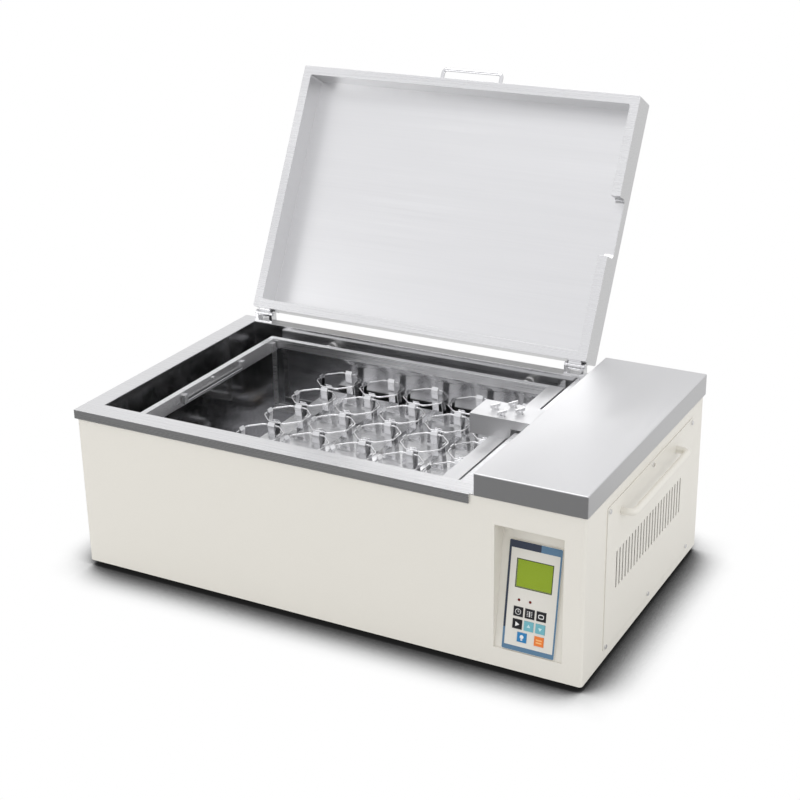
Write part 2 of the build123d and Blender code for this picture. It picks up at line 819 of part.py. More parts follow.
# Quarter-turn lever on the valve's stem
lever_z = drain_z + valve_block / 2 + 4 + fit_clearance
with BuildPart() as drain_lever:
    with BuildSketch(plane_at(drain_z + valve_block / 2 - 3.7)):
        with Locations((drain_x, valve_y + valve_block / 6)):
            Circle(stem_diameter / 2)
    extrude(amount=12)
    with BuildSketch(plane_at(lever_z)):
        with Locations((drain_x, valve_y + valve_block / 6)):
            Circle(stem_diameter + 1)
        with Locations((drain_x, valve_y + valve_block / 6 + 26)):
            SlotOverall(52, 11, rotation=90)
    extrude(amount=3.5)
drain_lever.part.label = "drain_lever"
export_step(drain_lever.part, "parts/drain_lever.step")

# Heater: one bent tube over the tank's floor, on three clips, with both ends in the right wall
heater_exit = tank_right + tank_sheet + 12
with BuildPart() as heater_element:
    with BuildLine(plane_at(heater_z)):
        FilletPolyline(
            (heater_exit, heater_ends[0]),
            (heater_left, heater_ends[0]),
            (heater_left, heater_ends[1]),
            (heater_exit, heater_ends[1]),
            radius=30,
        )
    with BuildSketch(
        Plane(origin=(heater_exit, heater_ends[0], heater_z), z_dir=(-1, 0, 0))
    ):
        Circle(heater_tube / 2)
    sweep()
    with BuildSketch(span_x(tank_right - 4)):
        with Locations(*[(end, heater_z) for end in heater_ends]):
            Circle(heater_tube)
    extrude(amount=4)
    with BuildSketch(span_x(tank_right + tank_sheet)):
        with Locations(*[(end, heater_z) for end in heater_ends]):
            RegularPolygon(heater_tube, 6)
    extrude(amount=5)
heater_element.part.label = "heater_element"
export_step(heater_element.part, "parts/heater_element.step")

clip_inset = 100.0
clip_spots = [
    (clip_x, clip_y)
    for clip_x in (heater_left + clip_inset, tank_right - clip_inset)
    for clip_y in heater_ends
]
with BuildPart() as heater_clips:
    with BuildSketch(plane_at(tank_floor)):
        with Locations(*clip_spots):
            Rectangle(12, 24)
    extrude(amount=heater_z - tank_floor)
    for clip_x, clip_y in clip_spots:
        with BuildSketch(span_x(clip_x - 7)):
            with Locations((clip_y, heater_z)):
                Circle(heater_tube / 2 + running_clearance)
        extrude(amount=14, mode=Mode.SUBTRACT)
heater_clips.part.label = "heater_clips"
export_step(heater_clips.part, "parts/heater_clips.step")

# Temperature probe through the tank's right wall, with its lock nut
probe_reach = 90.0
with BuildPart() as temperature_probe:
    with BuildSketch(span_x(tank_right - probe_reach)):
        with Locations(probe_spot):
            Circle(probe_tube / 2)
    extrude(amount=probe_reach + tank_sheet + 12)
    with BuildSketch(span_x(tank_right - 4)):
        with Locations(probe_spot):
            RegularPolygon(probe_tube, 6)
    extrude(amount=4)
    with BuildSketch(span_x(tank_right + tank_sheet)):
        with Locations(probe_spot):
            RegularPolygon(probe_tube, 6)
    extrude(amount=5)
temperature_probe.part.label = "temperature_probe"
export_step(temperature_probe.part, "parts/temperature_probe.step")

# Motor bracket: a bent plate on two legs that carries the motor and the crank's bearing
bracket_front = motor_y - motor_size / 2 - 6
bracket_back = crank_y + 40
bracket_width = motor_size + 24
bearing_flange = 56.0
with BuildPart() as motor_bracket:
    with BuildSketch(span_y(bracket_back)):
        with BuildLine():
            Polyline(
                (crank_x - bracket_width / 2 - 16, base_sheet),
                (crank_x - bracket_width / 2, base_sheet),
                (crank_x - bracket_width / 2, bracket_top),
                (crank_x + bracket_width / 2, bracket_top),
                (crank_x + bracket_width / 2, base_sheet),
                (crank_x + bracket_width / 2 + 16, base_sheet),
                (crank_x + bracket_width / 2 + 16, base_sheet + bracket_sheet),
                (crank_x + bracket_width / 2 + bracket_sheet, base_sheet + bracket_sheet),
                (crank_x + bracket_width / 2 + bracket_sheet, bracket_top + bracket_sheet),
                (crank_x - bracket_width / 2 - bracket_sheet, bracket_top + bracket_sheet),
                (crank_x - bracket_width / 2 - bracket_sheet, base_sheet + bracket_sheet),
                (crank_x - bracket_width / 2 - 16, base_sheet + bracket_sheet),
                close=True,
            )
        make_face()
    extrude(amount=bracket_back - bracket_front)
    with BuildSketch(plane_at(bracket_top - 1)):
        with Locations((crank_x, crank_y)):
            Circle(crank_shaft_diameter / 2 + 8 + fit_clearance)
        with Locations((crank_x, motor_y)):
            Circle(16)
    extrude(amount=bracket_sheet + 2, mode=Mode.SUBTRACT)
motor_bracket.part.label = "motor_bracket"
export_step(motor_bracket.part, "parts/motor_bracket.step")

# Motor: a finned body hung under the bracket, bored for its shaft
with BuildPart() as drive_motor:
    with BuildSketch(plane_at(bracket_top - motor_height)):
        with Locations((crank_x, motor_y)):
            RectangleRounded(motor_size - 8, motor_size - 8, 14)
    extrude(amount=motor_height)
    with BuildSketch(plane_at(bracket_top - 8)):
        with Locations((crank_x, motor_y)):
            RectangleRounded(motor_size, motor_size, 6)
    extrude(amount=8)
    with BuildSketch(plane_at(bracket_top - motor_height)):
        with Locations((crank_x, motor_y)):
            RectangleRounded(motor_size, motor_size, 6)
    extrude(amount=14)
    with BuildSketch(plane_at(bracket_top)):
        with Locations((crank_x, motor_y)):
            Circle(15)
    extrude(amount=bracket_sheet + 2)
    with BuildSketch(plane_at(bracket_top - 30)):
        with Locations((crank_x, motor_y)):
            Circle(motor_shaft_diameter / 2 + running_clearance)
    extrude(amount=60, mode=Mode.SUBTRACT)
drive_motor.part.label = "drive_motor"
export_step(drive_motor.part, "parts/drive_motor.step")

# Bearing housing that stands in the bracket under the crank wheel
wheel_bottom = wheel_top - wheel_thickness
with BuildPart() as crank_bearing:
    with BuildSketch(plane_at(bracket_top + bracket_sheet)):
        with Locations((crank_x, crank_y)):
            Circle(bearing_flange / 2)
    extrude(amount=4)
    with BuildSketch(plane_at(bracket_top - 16)):
        with Locations((crank_x, crank_y)):
            Circle(crank_shaft_diameter / 2 + 8)
    extrude(amount=wheel_bottom - fit_clearance - bracket_top + 16)
    with BuildSketch(plane_at(bracket_top - 20)):
        with Locations((crank_x, crank_y)):
            Circle(crank_shaft_diameter / 2 + running_clearance)
    extrude(amount=40, mode=Mode.SUBTRACT)
crank_bearing.part.label = "crank_bearing"
export_step(crank_bearing.part, "parts/crank_bearing.step")


def pulley_outline(centre_y, outer_radius):
    """A grooved rim's half section, drawn beside the wheel's own axis."""
    with BuildSketch(
        Plane(origin=(crank_x, centre_y, wheel_bottom), x_dir=(1, 0, 0), z_dir=(0, -1, 0))
    ) as outline:
        with BuildLine():
            Polyline(
                (0, 0),
                (outer_radius, 0),
                (outer_radius, 2),
                (outer_radius - belt_groove, (wheel_thickness - belt_width) / 2 - 0.2),
                (outer_radius - belt_groove, (wheel_thickness + belt_width) / 2 + 0.2),
                (outer_radius, wheel_thickness - 2),
                (outer_radius, wheel_thickness),
                (0, wheel_thickness),
                close=True,
            )
        make_face()
    return outline.sketch


# Crank wheel: a grooved wheel on the crank shaft, with the throw pin on its upper face
rod_bottom = wheel_top + fit_clearance
pin_x = crank_x + crank_throw
with BuildPart() as crank_wheel:
    revolve(
        pulley_outline(crank_y, crank_wheel_diameter / 2),
        axis=Axis((crank_x, crank_y, 0), (0, 0, 1)),
    )
    with BuildSketch(plane_at(bracket_top - 14)):
        with Locations((crank_x, crank_y)):
            Circle(crank_shaft_diameter / 2)
    extrude(amount=wheel_bottom - bracket_top + 14)
    with BuildSketch(plane_at(wheel_top)):
        with Locations((pin_x, crank_y)):
            Circle(crank_pin_diameter / 2)
    extrude(amount=rod_thickness + 3)
    with BuildSketch(plane_at(wheel_bottom - 1)):
        with Locations((crank_x, crank_y)):
            with PolarLocations(33, 4, 45):
                Circle(9)
    extrude(amount=wheel_thickness + 2, mode=Mode.SUBTRACT)
crank_wheel.part.label = "crank_wheel"
export_step(crank_wheel.part, "parts/crank_wheel.step")

# Motor pulley and the motor's shaft, which turn together
with BuildPart() as motor_pulley:
    revolve(
        pulley_outline(motor_y, motor_pulley_diameter / 2),
        axis=Axis((crank_x, motor_y, 0), (0, 0, 1)),
    )
    with BuildSketch(plane_at(bracket_top - 29)):
        with Locations((crank_x, motor_y)):
            Circle(motor_shaft_diameter / 2)
    extrude(amount=wheel_bottom - bracket_top + 29)
motor_pulley.part.label = "motor_pulley"
export_step(motor_pulley.part, "parts/motor_pulley.step")

# Belt round both pulleys
belt_run = 3.6
crank_groove = crank_wheel_diameter / 2 - belt_groove + fit_clearance
motor_groove = motor_pulley_diameter / 2 - belt_groove + fit_clearance
belt_plane = plane_at(wheel_bottom + (wheel_thickness - belt_width) / 2 + fit_clearance)
with BuildPart() as drive_belt:
    for spread, way in ((belt_run, Mode.ADD), (0, Mode.SUBTRACT)):
        with BuildSketch(belt_plane):
            with Locations((crank_x, crank_y)):
                Circle(crank_groove + spread)
            with Locations((crank_x, motor_y)):
                Circle(motor_groove + spread)
            make_hull()
        extrude(amount=belt_width - 2 * fit_clearance, mode=way)
drive_belt.part.label = "drive_belt"
export_step(drive_belt.part, "parts/drive_belt.step")

# Connecting rod: its big end turns on the throw pin, its slotted small end guides the wrist pin
wrist_pin = 10.0
with BuildPart() as connecting_rod:
    with BuildSketch(plane_at(rod_bottom)):
        with Locations((pin_x, crank_y)):
            Circle(crank_pin_diameter / 2 + 7)
        with Locations((wrist_x, crank_y)):
            Circle(wrist_pin / 2 + 6)
        with Locations(((pin_x + wrist_x) / 2, crank_y)):
            Rectangle(pin_x - wrist_x, 14)
        with Locations((pin_x, crank_y)):
            Circle(crank_pin_diameter / 2 + running_clearance, mode=Mode.SUBTRACT)
        with Locations((wrist_x, crank_y)):
            Circle(wrist_pin / 2 + running_clearance, mode=Mode.SUBTRACT)
    extrude(amount=rod_thickness)
connecting_rod.part.label = "connecting_rod"
export_step(connecting_rod.part, "parts/connecting_rod.step")

# Roller rails: an angle welded along the tank's front and back walls
ledge_length = tank_width - 2 * ledge_end_gap
with BuildPart() as roller_rails:
    for wall, inward in ((tank_front, 1), (tank_back, -1)):
        with BuildSketch(plane_at(ledge_top - ledge_sheet)):
            with Locations((tank_mid[0], wall + inward * ledge_depth / 2)):
                Rectangle(ledge_length, ledge_depth)
        extrude(amount=ledge_sheet)
        with BuildSketch(plane_at(ledge_top - ledge_depth)):
            with Locations((tank_mid[0], wall + inward * ledge_sheet / 2)):
                Rectangle(ledge_length, ledge_sheet)
        extrude(amount=ledge_depth)
roller_rails.part.label = "roller_rails"
export_step(roller_rails.part, "parts/roller_rails.step")

# Lid planes: local x along +X, local y from the free edge to the hinge, local z out of the lid
lid_sin = sin(radians(lid_open_angle))
lid_cos = cos(radians(lid_open_angle))
hinge_z = rim_height + hinge_rise
lid_back = -hinge_setback
lid_front = lid_back - lid_length
lid_width = lid_right - lid_left
lid_middle = ((lid_left + lid_right) / 2, (lid_front + lid_back) / 2)
hinge_spots = (lid_left + hinge_inset, lid_right - hinge_inset)


def lid_level(rise):
    """A plane of the open lid, parallel to its rim, at a rise from the rim."""
    plane = Plane(origin=(0, hinge_y, hinge_z), x_dir=(1, 0, 0), z_dir=(0, lid_sin, lid_cos))
    return plane.offset(lid_seat_gap - hinge_rise + rise)


def lid_across(x_position):
    """A plane across the open lid, local x towards the hinge and local y out of the lid."""
    return Plane(
        origin=(x_position, hinge_y, hinge_z), x_dir=(0, lid_cos, -lid_sin), z_dir=(1, 0, 0)
    )


# Lid shell: a folded tray with a return flange round its rim and an arched notch for the arm
notch_width = arm_back - arm_front + 2 * lid_notch_margin - 10
notch_middle = arm_mid - 5 - hinge_y
rim_offset = lid_seat_gap - hinge_rise
with BuildPart() as lid_shell:
    with BuildSketch(lid_level(0)):
        with Locations(lid_middle):
            RectangleRounded(lid_width, lid_length, 3)
    extrude(amount=lid_height)
    with BuildSketch(lid_level(lid_sheet)):
        with Locations(lid_middle):
            RectangleRounded(lid_width - 2 * lid_sheet, lid_length - 2 * lid_sheet, 3 - lid_sheet)
    extrude(amount=lid_height - 2 * lid_sheet, mode=Mode.SUBTRACT)
    with BuildSketch(lid_level(-1)):
        with Locations(lid_middle):
            RectangleRounded(lid_width - 2 * lid_return, lid_length - 2 * lid_return, 4)
    extrude(amount=lid_sheet + 2, mode=Mode.SUBTRACT)
    with BuildSketch(lid_across(lid_right - lid_return - 1)):
        with Locations((notch_middle, rim_offset)):
            RectangleRounded(notch_width, 2 * lid_notch_height, 10)
    extrude(amount=lid_return + 2, mode=Mode.SUBTRACT)
lid_shell.part.label = "lid_shell"
export_step(lid_shell.part, "parts/lid_shell.step")

# Lid liner: an inner dish seated on the return flange, with a collar round the notch
liner_sheet = 1.0
liner_flange = 9.0
with BuildPart() as lid_liner:
    with BuildSketch(lid_level(lid_sheet)):
        with Locations(lid_middle):
            Rectangle(
                lid_width - 2 * lid_return + 2 * liner_flange,
                lid_length - 2 * lid_return + 2 * liner_flange,
            )
    extrude(amount=liner_sheet)
    with BuildSketch(lid_level(lid_sheet)):
        with Locations(lid_middle):
            RectangleRounded(
                lid_width - 2 * lid_return + 2 * liner_sheet,
                lid_length - 2 * lid_return + 2 * liner_sheet,
                4 + liner_sheet,
            )
    extrude(amount=lid_inner_depth)
    with BuildSketch(lid_across(lid_right - lid_return)):
        with Locations((notch_middle, rim_offset)):
            RectangleRounded(
                notch_width + 2 * liner_sheet, 2 * (lid_notch_height + liner_sheet), 10 + liner_sheet
            )
            with Locations((0, lid_sheet / 2 - lid_notch_height)):
                Rectangle(
                    2 * notch_width, 2 * lid_notch_height + lid_sheet, mode=Mode.SUBTRACT
                )
    extrude(amount=lid_return - lid_sheet)
    with BuildSketch(lid_level(lid_sheet - 1)):
        with Locations(lid_middle):
            RectangleRounded(lid_width - 2 * lid_return, lid_length - 2 * lid_return, 4)
    extrude(amount=lid_inner_depth - liner_sheet + 1, mode=Mode.SUBTRACT)
    with BuildSketch(lid_across(lid_right - lid_return - 1)):
        with Locations((notch_middle, rim_offset)):
            RectangleRounded(notch_width, 2 * lid_notch_height, 10)
    extrude(amount=lid_return + 2, mode=Mode.SUBTRACT)
lid_liner.part.label = "lid_liner"
export_step(lid_liner.part, "parts/lid_liner.step")

# Lid handle: a bent round rod welded to the lid's free wall
with BuildPart() as lid_handle:
    with BuildLine(lid_level(lid_height / 2)):
        FilletPolyline(
            (lid_middle[0] - handle_width / 2, lid_front),
            (lid_middle[0] - handle_width / 2, lid_front - handle_reach),
            (lid_middle[0] + handle_width / 2, lid_front - handle_reach),
            (lid_middle[0] + handle_width / 2, lid_front),
            radius=handle_rod,
        )
    handle_foot = lid_level(lid_height / 2).from_local_coords(
        (lid_middle[0] - handle_width / 2, lid_front, 0)
    )
    with BuildSketch(Plane(origin=handle_foot, x_dir=(1, 0, 0), z_dir=(0, -lid_cos, lid_sin))):
        Circle(handle_rod / 2)
    sweep()
lid_handle.part.label = "lid_handle"
export_step(lid_handle.part, "parts/lid_handle.step")

# Fixed hinge leaves: base, two ears with the pin peened in them, and the stop behind the ears
ear_width = 6.7
barrel_radius = hinge_barrel / 2
stop_front = barrel_radius
stop_back = 11.0


def stop_height(setback):
    """Top of the stop, just clear of the open lid's back wall."""
    return (hinge_setback - fit_clearance + setback * lid_cos) / lid_sin


with BuildPart() as lid_hinge_leaves:
    for hinge_x in hinge_spots:
        with BuildSketch(plane_at(rim_height)):
            with Locations((hinge_x, hinge_y + (stop_back - 8.5) / 2)):
                Rectangle(hinge_width, stop_back + 8.5)
        extrude(amount=leaf_sheet)
        for ear_x in (hinge_x - hinge_width / 2, hinge_x + hinge_width / 2 - ear_width):
            with BuildSketch(span_x(ear_x)):
                with Locations((hinge_y, hinge_z)):
                    Circle(barrel_radius)
                with BuildLine():
                    Polyline(
                        (hinge_y - barrel_radius, rim_height),
                        (hinge_y + stop_back, rim_height),
                        (hinge_y + stop_back, hinge_z + stop_height(stop_back)),
                        (hinge_y + stop_front, hinge_z + stop_height(stop_front)),
                        (hinge_y + stop_front, hinge_z),
                        (hinge_y - barrel_radius, hinge_z),
                        close=True,
                    )
                make_face()
            extrude(amount=ear_width)
        with BuildSketch(span_x(hinge_x - hinge_width / 2 - 2)):
            with Locations((hinge_y, hinge_z)):
                Circle(hinge_pin_diameter / 2)
        extrude(amount=hinge_width + 4)
lid_hinge_leaves.part.label = "lid_hinge_leaves"
export_step(lid_hinge_leaves.part, "parts/lid_hinge_leaves.step")

# Moving hinge straps: a plate on the lid's back wall with a barrel round each pin
strap_width = hinge_width - 2 * ear_width - 2 * fit_clearance
strap_top = 32.0
with BuildPart() as lid_hinge_straps:
    for hinge_x in hinge_spots:
        with BuildSketch(lid_across(hinge_x - strap_width / 2)):
            Circle(barrel_radius)
            with Locations((lid_back / 2, 0)):
                Rectangle(hinge_setback, hinge_barrel - 2)
            with Locations((lid_back + leaf_sheet / 2, strap_top / 2 - 6)):
                Rectangle(leaf_sheet, strap_top + 12)
            Circle(hinge_pin_diameter / 2 + running_clearance, mode=Mode.SUBTRACT)
        extrude(amount=strap_width)
lid_hinge_straps.part.label = "lid_hinge_straps"
export_step(lid_hinge_straps.part, "parts/lid_hinge_straps.step")

# Cradle's left end: a flanged bar whose web carries three clips, a strip and a stud
clip_width = 12.0
clip_reach = 6.0
bar_clips = (cradle_front + 135, cradle_back - 136, cradle_back - 21)
with BuildPart() as cradle_left_end:
    with BuildSketch(plane_at(cradle_top - cradle_sheet)):
        with Locations((cradle_left + cradle_rail_width / 2, (cradle_front + cradle_back) / 2)):
            Rectangle(cradle_rail_width, cradle_back - cradle_front)
    extrude(amount=cradle_sheet)
    web_right = cradle_left + cradle_rail_width
    with BuildSketch(span_x(web_right - cradle_sheet)):
        with Locations(
            ((cradle_front + cradle_back) / 2, cradle_top - left_bar_web / 2)
        ):
            Rectangle(cradle_back - cradle_front, left_bar_web)
    extrude(amount=cradle_sheet)
    with BuildSketch(span_x(web_right)):
        with Locations(*[(spot, cradle_top - 15) for spot in bar_clips]):
            Rectangle(clip_width, 18)
    extrude(amount=clip_reach)
    with BuildSketch(span_x(web_right + clip_reach - cradle_sheet)):
        with Locations(((bar_clips[0] + bar_clips[1]) / 2, cradle_top - 21.5)):
            Rectangle(bar_clips[1] - bar_clips[0], 5)
    extrude(amount=cradle_sheet)
    with BuildSketch(span_x(web_right)):
        with Locations((bar_clips[0] + 98, cradle_top - 7)):
            Circle(3)
    extrude(amount=3)
cradle_left_end.part.label = "cradle_left_end"
export_step(cradle_left_end.part, "parts/cradle_left_end.step")

# Cradle's right end: a flat plate with both long edges folded down
plate_left = cradle_right - right_plate_width
plate_fold = 12.0
with BuildPart() as cradle_right_end:
    with BuildSketch(span_y(cradle_back)):
        with BuildLine():
            Polyline(
                (plate_left, cradle_top - plate_fold),
                (plate_left, cradle_top),
                (cradle_right, cradle_top),
                (cradle_right, cradle_top - plate_fold),
            )
            offset(amount=-cradle_sheet, side=Side.RIGHT, closed=True)
        make_face()
    extrude(amount=cradle_back - cradle_front)
cradle_right_end.part.label = "cradle_right_end"
export_step(cradle_right_end.part, "parts/cradle_right_end.step")

# Cradle's front and rear rails: channels open below, each with two stub axles for rollers
roller_z = ledge_top + roller_radius + fit_clearance
roller_gap = 6.0
axle_head = 1.5
axle_reach = roller_gap + roller_width + fit_clearance + axle_head
roller_spots = ((roller_left, roller_z), (roller_right, roller_z))
rail_length = plate_left - web_right
rail_mid = (web_right + plate_left) / 2
with BuildPart() as cradle_rails:
    for outer_face, outward in ((cradle_front, -1), (cradle_back, 1)):
        inner_face = outer_face - outward * cradle_rail_width
        with BuildSketch(plane_at(cradle_top - cradle_rail_height)):
            for face, into in ((outer_face, -outward), (inner_face, outward)):
                with Locations((rail_mid, face + into * cradle_sheet / 2)):
                    Rectangle(rail_length, cradle_sheet)
        extrude(amount=cradle_rail_height)
        with BuildSketch(plane_at(cradle_top - cradle_sheet)):
            with Locations((rail_mid, (outer_face + inner_face) / 2)):
                Rectangle(rail_length, cradle_rail_width)
        extrude(amount=cradle_sheet)
        for radius, start, reach in (
            (roller_axle / 2, 0, axle_reach),
            (roller_axle / 2 + 2, 0, roller_gap - fit_clearance),
            (roller_axle / 2 + 1.5, axle_reach - axle_head, axle_head),
        ):
            with BuildSketch(span_y(outer_face + outward * start)):
                with Locations(*roller_spots):
                    Circle(radius)
            extrude(amount=-outward * reach)
cradle_rails.part.label = "cradle_rails"
export_step(cradle_rails.part, "parts/cradle_rails.step")

# Four rollers that run on the tank's rails
for roller_name, roller_x, outer_face, outward in (
    ("roller_front_left", roller_left, cradle_front, -1),
    ("roller_front_right", roller_right, cradle_front, -1),
    ("roller_rear_left", roller_left, cradle_back, 1),
    ("roller_rear_right", roller_right, cradle_back, 1),
):
    with BuildPart() as roller:
        with BuildSketch(span_y(outer_face + outward * roller_gap)):
            with Locations((roller_x, roller_z)):
                Circle(roller_radius)
        extrude(amount=-outward * roller_width)
        with BuildSketch(span_y(outer_face + outward * roller_gap)):
            with Locations((roller_x, roller_z)):
                Circle(roller_axle / 2 + running_clearance)
        extrude(amount=-outward * roller_width, mode=Mode.SUBTRACT)
    roller.part.label = roller_name
    export_step(roller.part, f"parts/{roller_name}.step")

# Cradle hangers: a frame at the front and one at the back, posts down to a tray ledge
hanger_sheet = 2.5
hanger_left = cradle_left
hanger_right = cradle_right - cradle_sheet - 0.3
hanger_left_width = cradle_rail_width - cradle_sheet - 0.3
with BuildPart() as cradle_hangers:
    for outer_face, outward, ledge_edge in (
        (cradle_front, -1, tray_front - 1),
        (cradle_back, 1, tray_back + 1),
    ):
        post_y = outer_face - outward * hanger_sheet / 2
        with BuildSketch(plane_at(hanger_foot)):
            with Locations((hanger_left + hanger_left_width / 2, post_y)):
                Rectangle(hanger_left_width, hanger_sheet)
            with Locations((hanger_right - hanger_width / 2, post_y)):
                Rectangle(hanger_width, hanger_sheet)
        extrude(amount=cradle_top - cradle_sheet - hanger_foot)
        with BuildSketch(plane_at(hanger_foot)):
            with Locations(((hanger_left + hanger_right) / 2, post_y)):
                Rectangle(hanger_right - hanger_left, hanger_sheet)
        extrude(amount=tray_foot - hanger_foot)
        with BuildSketch(plane_at(tray_foot - cradle_sheet)):
            with Locations(((hanger_left + hanger_right) / 2, (post_y + ledge_edge) / 2)):
                Rectangle(hanger_right - hanger_left, abs(post_y - ledge_edge))
        extrude(amount=cradle_sheet)
cradle_hangers.part.label = "cradle_hangers"
export_step(cradle_hangers.part, "parts/cradle_hangers.step")

# Clamp tray: a deep inverted pan, open at both ends below a short lip
tray_mid = ((tray_left + tray_right) / 2, (tray_front + tray_back) / 2)
tray_size = (tray_right - tray_left, tray_back - tray_front)
clamp_grid = (clamp_pitch, clamp_pitch, clamp_columns, clamp_rows)
with BuildPart() as clamp_tray:
    with BuildSketch(plane_at(tray_foot)):
        with Locations(tray_mid):
            Rectangle(*tray_size)
    extrude(amount=tray_top - tray_foot)
    offset(
        amount=-tray_sheet,
        openings=clamp_tray.faces().sort_by(Axis.Z)[0],
        kind=Kind.INTERSECTION,
    )
    with BuildSketch(span_x(tray_left - 1)):
        with Locations((tray_mid[1], tray_foot)):
            Rectangle(tray_size[1] - 2 * tray_sheet, 2 * (tray_skirt - tray_lip))
    extrude(amount=tray_size[0] + 2, mode=Mode.SUBTRACT)
    with BuildSketch(plane_at(tray_top - 2 * tray_sheet)):
        with Locations((clamp_centre_x, clamp_centre_y)):
            with GridLocations(clamp_pitch, clamp_pitch, clamp_columns - 1, clamp_rows - 1):
                Rectangle(14, 14, rotation=45)
    extrude(amount=3 * tray_sheet, mode=Mode.SUBTRACT)
clamp_tray.part.label = "clamp_tray"
export_step(clamp_tray.part, "parts/clamp_tray.step")

# Clamp bases: crossed strips under each clamp, spot welded to the tray
with BuildPart() as clamp_bases:
    with BuildSketch(plane_at(tray_top)):
        with Locations((clamp_centre_x, clamp_centre_y)):
            with GridLocations(*clamp_grid):
                Rectangle(2 * finger_foot_radius, finger_width)
                Rectangle(finger_width, 2 * finger_foot_radius)
                Rectangle(clamp_base_size / 2, clamp_base_size / 2, rotation=45)
    extrude(amount=clamp_base_thickness)
clamp_bases.part.label = "clamp_bases"
export_step(clamp_bases.part, "parts/clamp_bases.step")

# Clamp fingers: four strips to a clamp that lean in and flare out again at their tips
finger_foot = tray_top + clamp_base_thickness
finger_neck = 44.0
finger_flare = 4.0
with BuildPart() as one_clamp:
    for turn in range(4):
        side_plane = Plane(origin=(0, 0, finger_foot)).rotated((0, 0, 90 * turn))
        profile_plane = Plane(
            origin=side_plane.from_local_coords((0, -finger_width / 2, 0)),
            x_dir=side_plane.x_dir,
            z_dir=-side_plane.y_dir,
        )
        with BuildSketch(profile_plane):
            with BuildLine():
                Polyline(
                    (finger_foot_radius - finger_sheet, 0),
                    (finger_foot_radius, 0),
                    (finger_tip_radius, finger_neck),
                    (finger_tip_radius + finger_flare, finger_height),
                    (finger_tip_radius + finger_flare - finger_sheet, finger_height),
                    (finger_tip_radius - finger_sheet, finger_neck),
                    close=True,
                )
            make_face()
        extrude(amount=-finger_width)
with BuildPart() as clamp_fingers:
    with Locations((clamp_centre_x, clamp_centre_y)):
        with GridLocations(*clamp_grid):
            add(one_clamp.part)
clamp_fingers.part.label = "clamp_fingers"
export_step(clamp_fingers.part, "parts/clamp_fingers.step")

# Clamp springs: a closed spring hoop round each clamp, pulled into eight sides by the fingers
spring_flare = finger_flare * (spring_height - finger_neck) / (finger_height - finger_neck)
spring_apothem = finger_tip_radius + spring_flare + fit_clearance
with BuildPart() as clamp_springs:
    with BuildSketch(plane_at(finger_foot + spring_height - spring_wire)):
        with Locations((clamp_centre_x, clamp_centre_y)):
            with GridLocations(*clamp_grid):
                RegularPolygon(
                    spring_apothem + spring_wire, 8, major_radius=False, rotation=22.5
                )
                RegularPolygon(
                    spring_apothem, 8, major_radius=False, rotation=22.5, mode=Mode.SUBTRACT
                )
    extrude(amount=spring_wire)
clamp_springs.part.label = "clamp_springs"
export_step(clamp_springs.part, "parts/clamp_springs.step")

# Drive arm: an inverted channel, deep over the cradle and shallow through the cover's slot
arm_shallow = rim_height + arm_clearance
with BuildPart() as drive_arm:
    with BuildSketch(plane_at(cradle_top)):
        with Locations(((arm_left + arm_step) / 2, arm_mid)):
            Rectangle(arm_step - arm_left, arm_back - arm_front)
    extrude(amount=arm_top - cradle_top)
    with BuildSketch(plane_at(arm_shallow)):
        with Locations(((arm_left + arm_right) / 2, arm_mid)):
            Rectangle(arm_right - arm_left, arm_back - arm_front)
    extrude(amount=arm_top - arm_shallow)
    with BuildSketch(plane_at(cradle_top - 1)):
        with Locations(((arm_left + arm_right) / 2, arm_mid)):
            Rectangle(arm_right - arm_left + 2, arm_back - arm_front - 2 * arm_sheet)
    extrude(amount=arm_top - arm_sheet - cradle_top + 1, mode=Mode.SUBTRACT)
    stud_spots = [
        (plate_left + right_plate_width / 2 + 4 + reach_x, arm_mid + reach_y)
        for reach_x, reach_y in ((-24, 0), (0, 24), (24, 0), (0, -24))
    ]
    with BuildSketch(plane_at(arm_top - 2 * arm_sheet)):
        with Locations(*stud_spots):
            SlotOverall(13, 6.5)
    extrude(amount=3 * arm_sheet, mode=Mode.SUBTRACT)
    with BuildSketch(plane_at(rod_bottom + rod_thickness + 2)):
        with Locations((wrist_x, arm_mid)):
            Circle(wrist_pin / 2)
    extrude(amount=arm_top - rod_bottom - rod_thickness - 2)
drive_arm.part.label = "drive_arm"
export_step(drive_arm.part, "parts/drive_arm.step")

# Arm fasteners: four studs with wing nuts on the drive arm, low enough for the closed lid
stud_rise = 9.0
with BuildPart() as arm_fasteners:
    with BuildSketch(plane_at(arm_top - arm_sheet - 3)):
        with Locations(*stud_spots):
            Circle(2.8)
    extrude(amount=arm_sheet + 3 + stud_rise)
    with BuildSketch(plane_at(arm_top - arm_sheet - 3)):
        with Locations(*stud_spots):
            RegularPolygon(5, 6)
    extrude(amount=3)
    with BuildSketch(plane_at(arm_top)):
        with Locations(*stud_spots):
            Circle(5.5)
    extrude(amount=5)
    with BuildSketch(plane_at(arm_top + 4)):
        with Locations(*stud_spots):
            Rectangle(20, 2.5, rotation=60)
    extrude(amount=stud_rise - 4 + 0.5)
arm_fasteners.part.label = "arm_fasteners"
export_step(arm_fasteners.part, "parts/arm_fasteners.step")
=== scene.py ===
# %% [markdown]
# A shaking water bath, dressed from its measured model. The solid parts arrive with their real
# size and place, so this lesson is about their finish: enamelled sheet, brushed and polished
# steel, a printed keypad, and the fine pieces that are easier to coil and bend here.

import json
from math import cos, degrees, pi, radians, sin

import bmesh
import bpy
from mathutils import Matrix, Quaternion, Vector


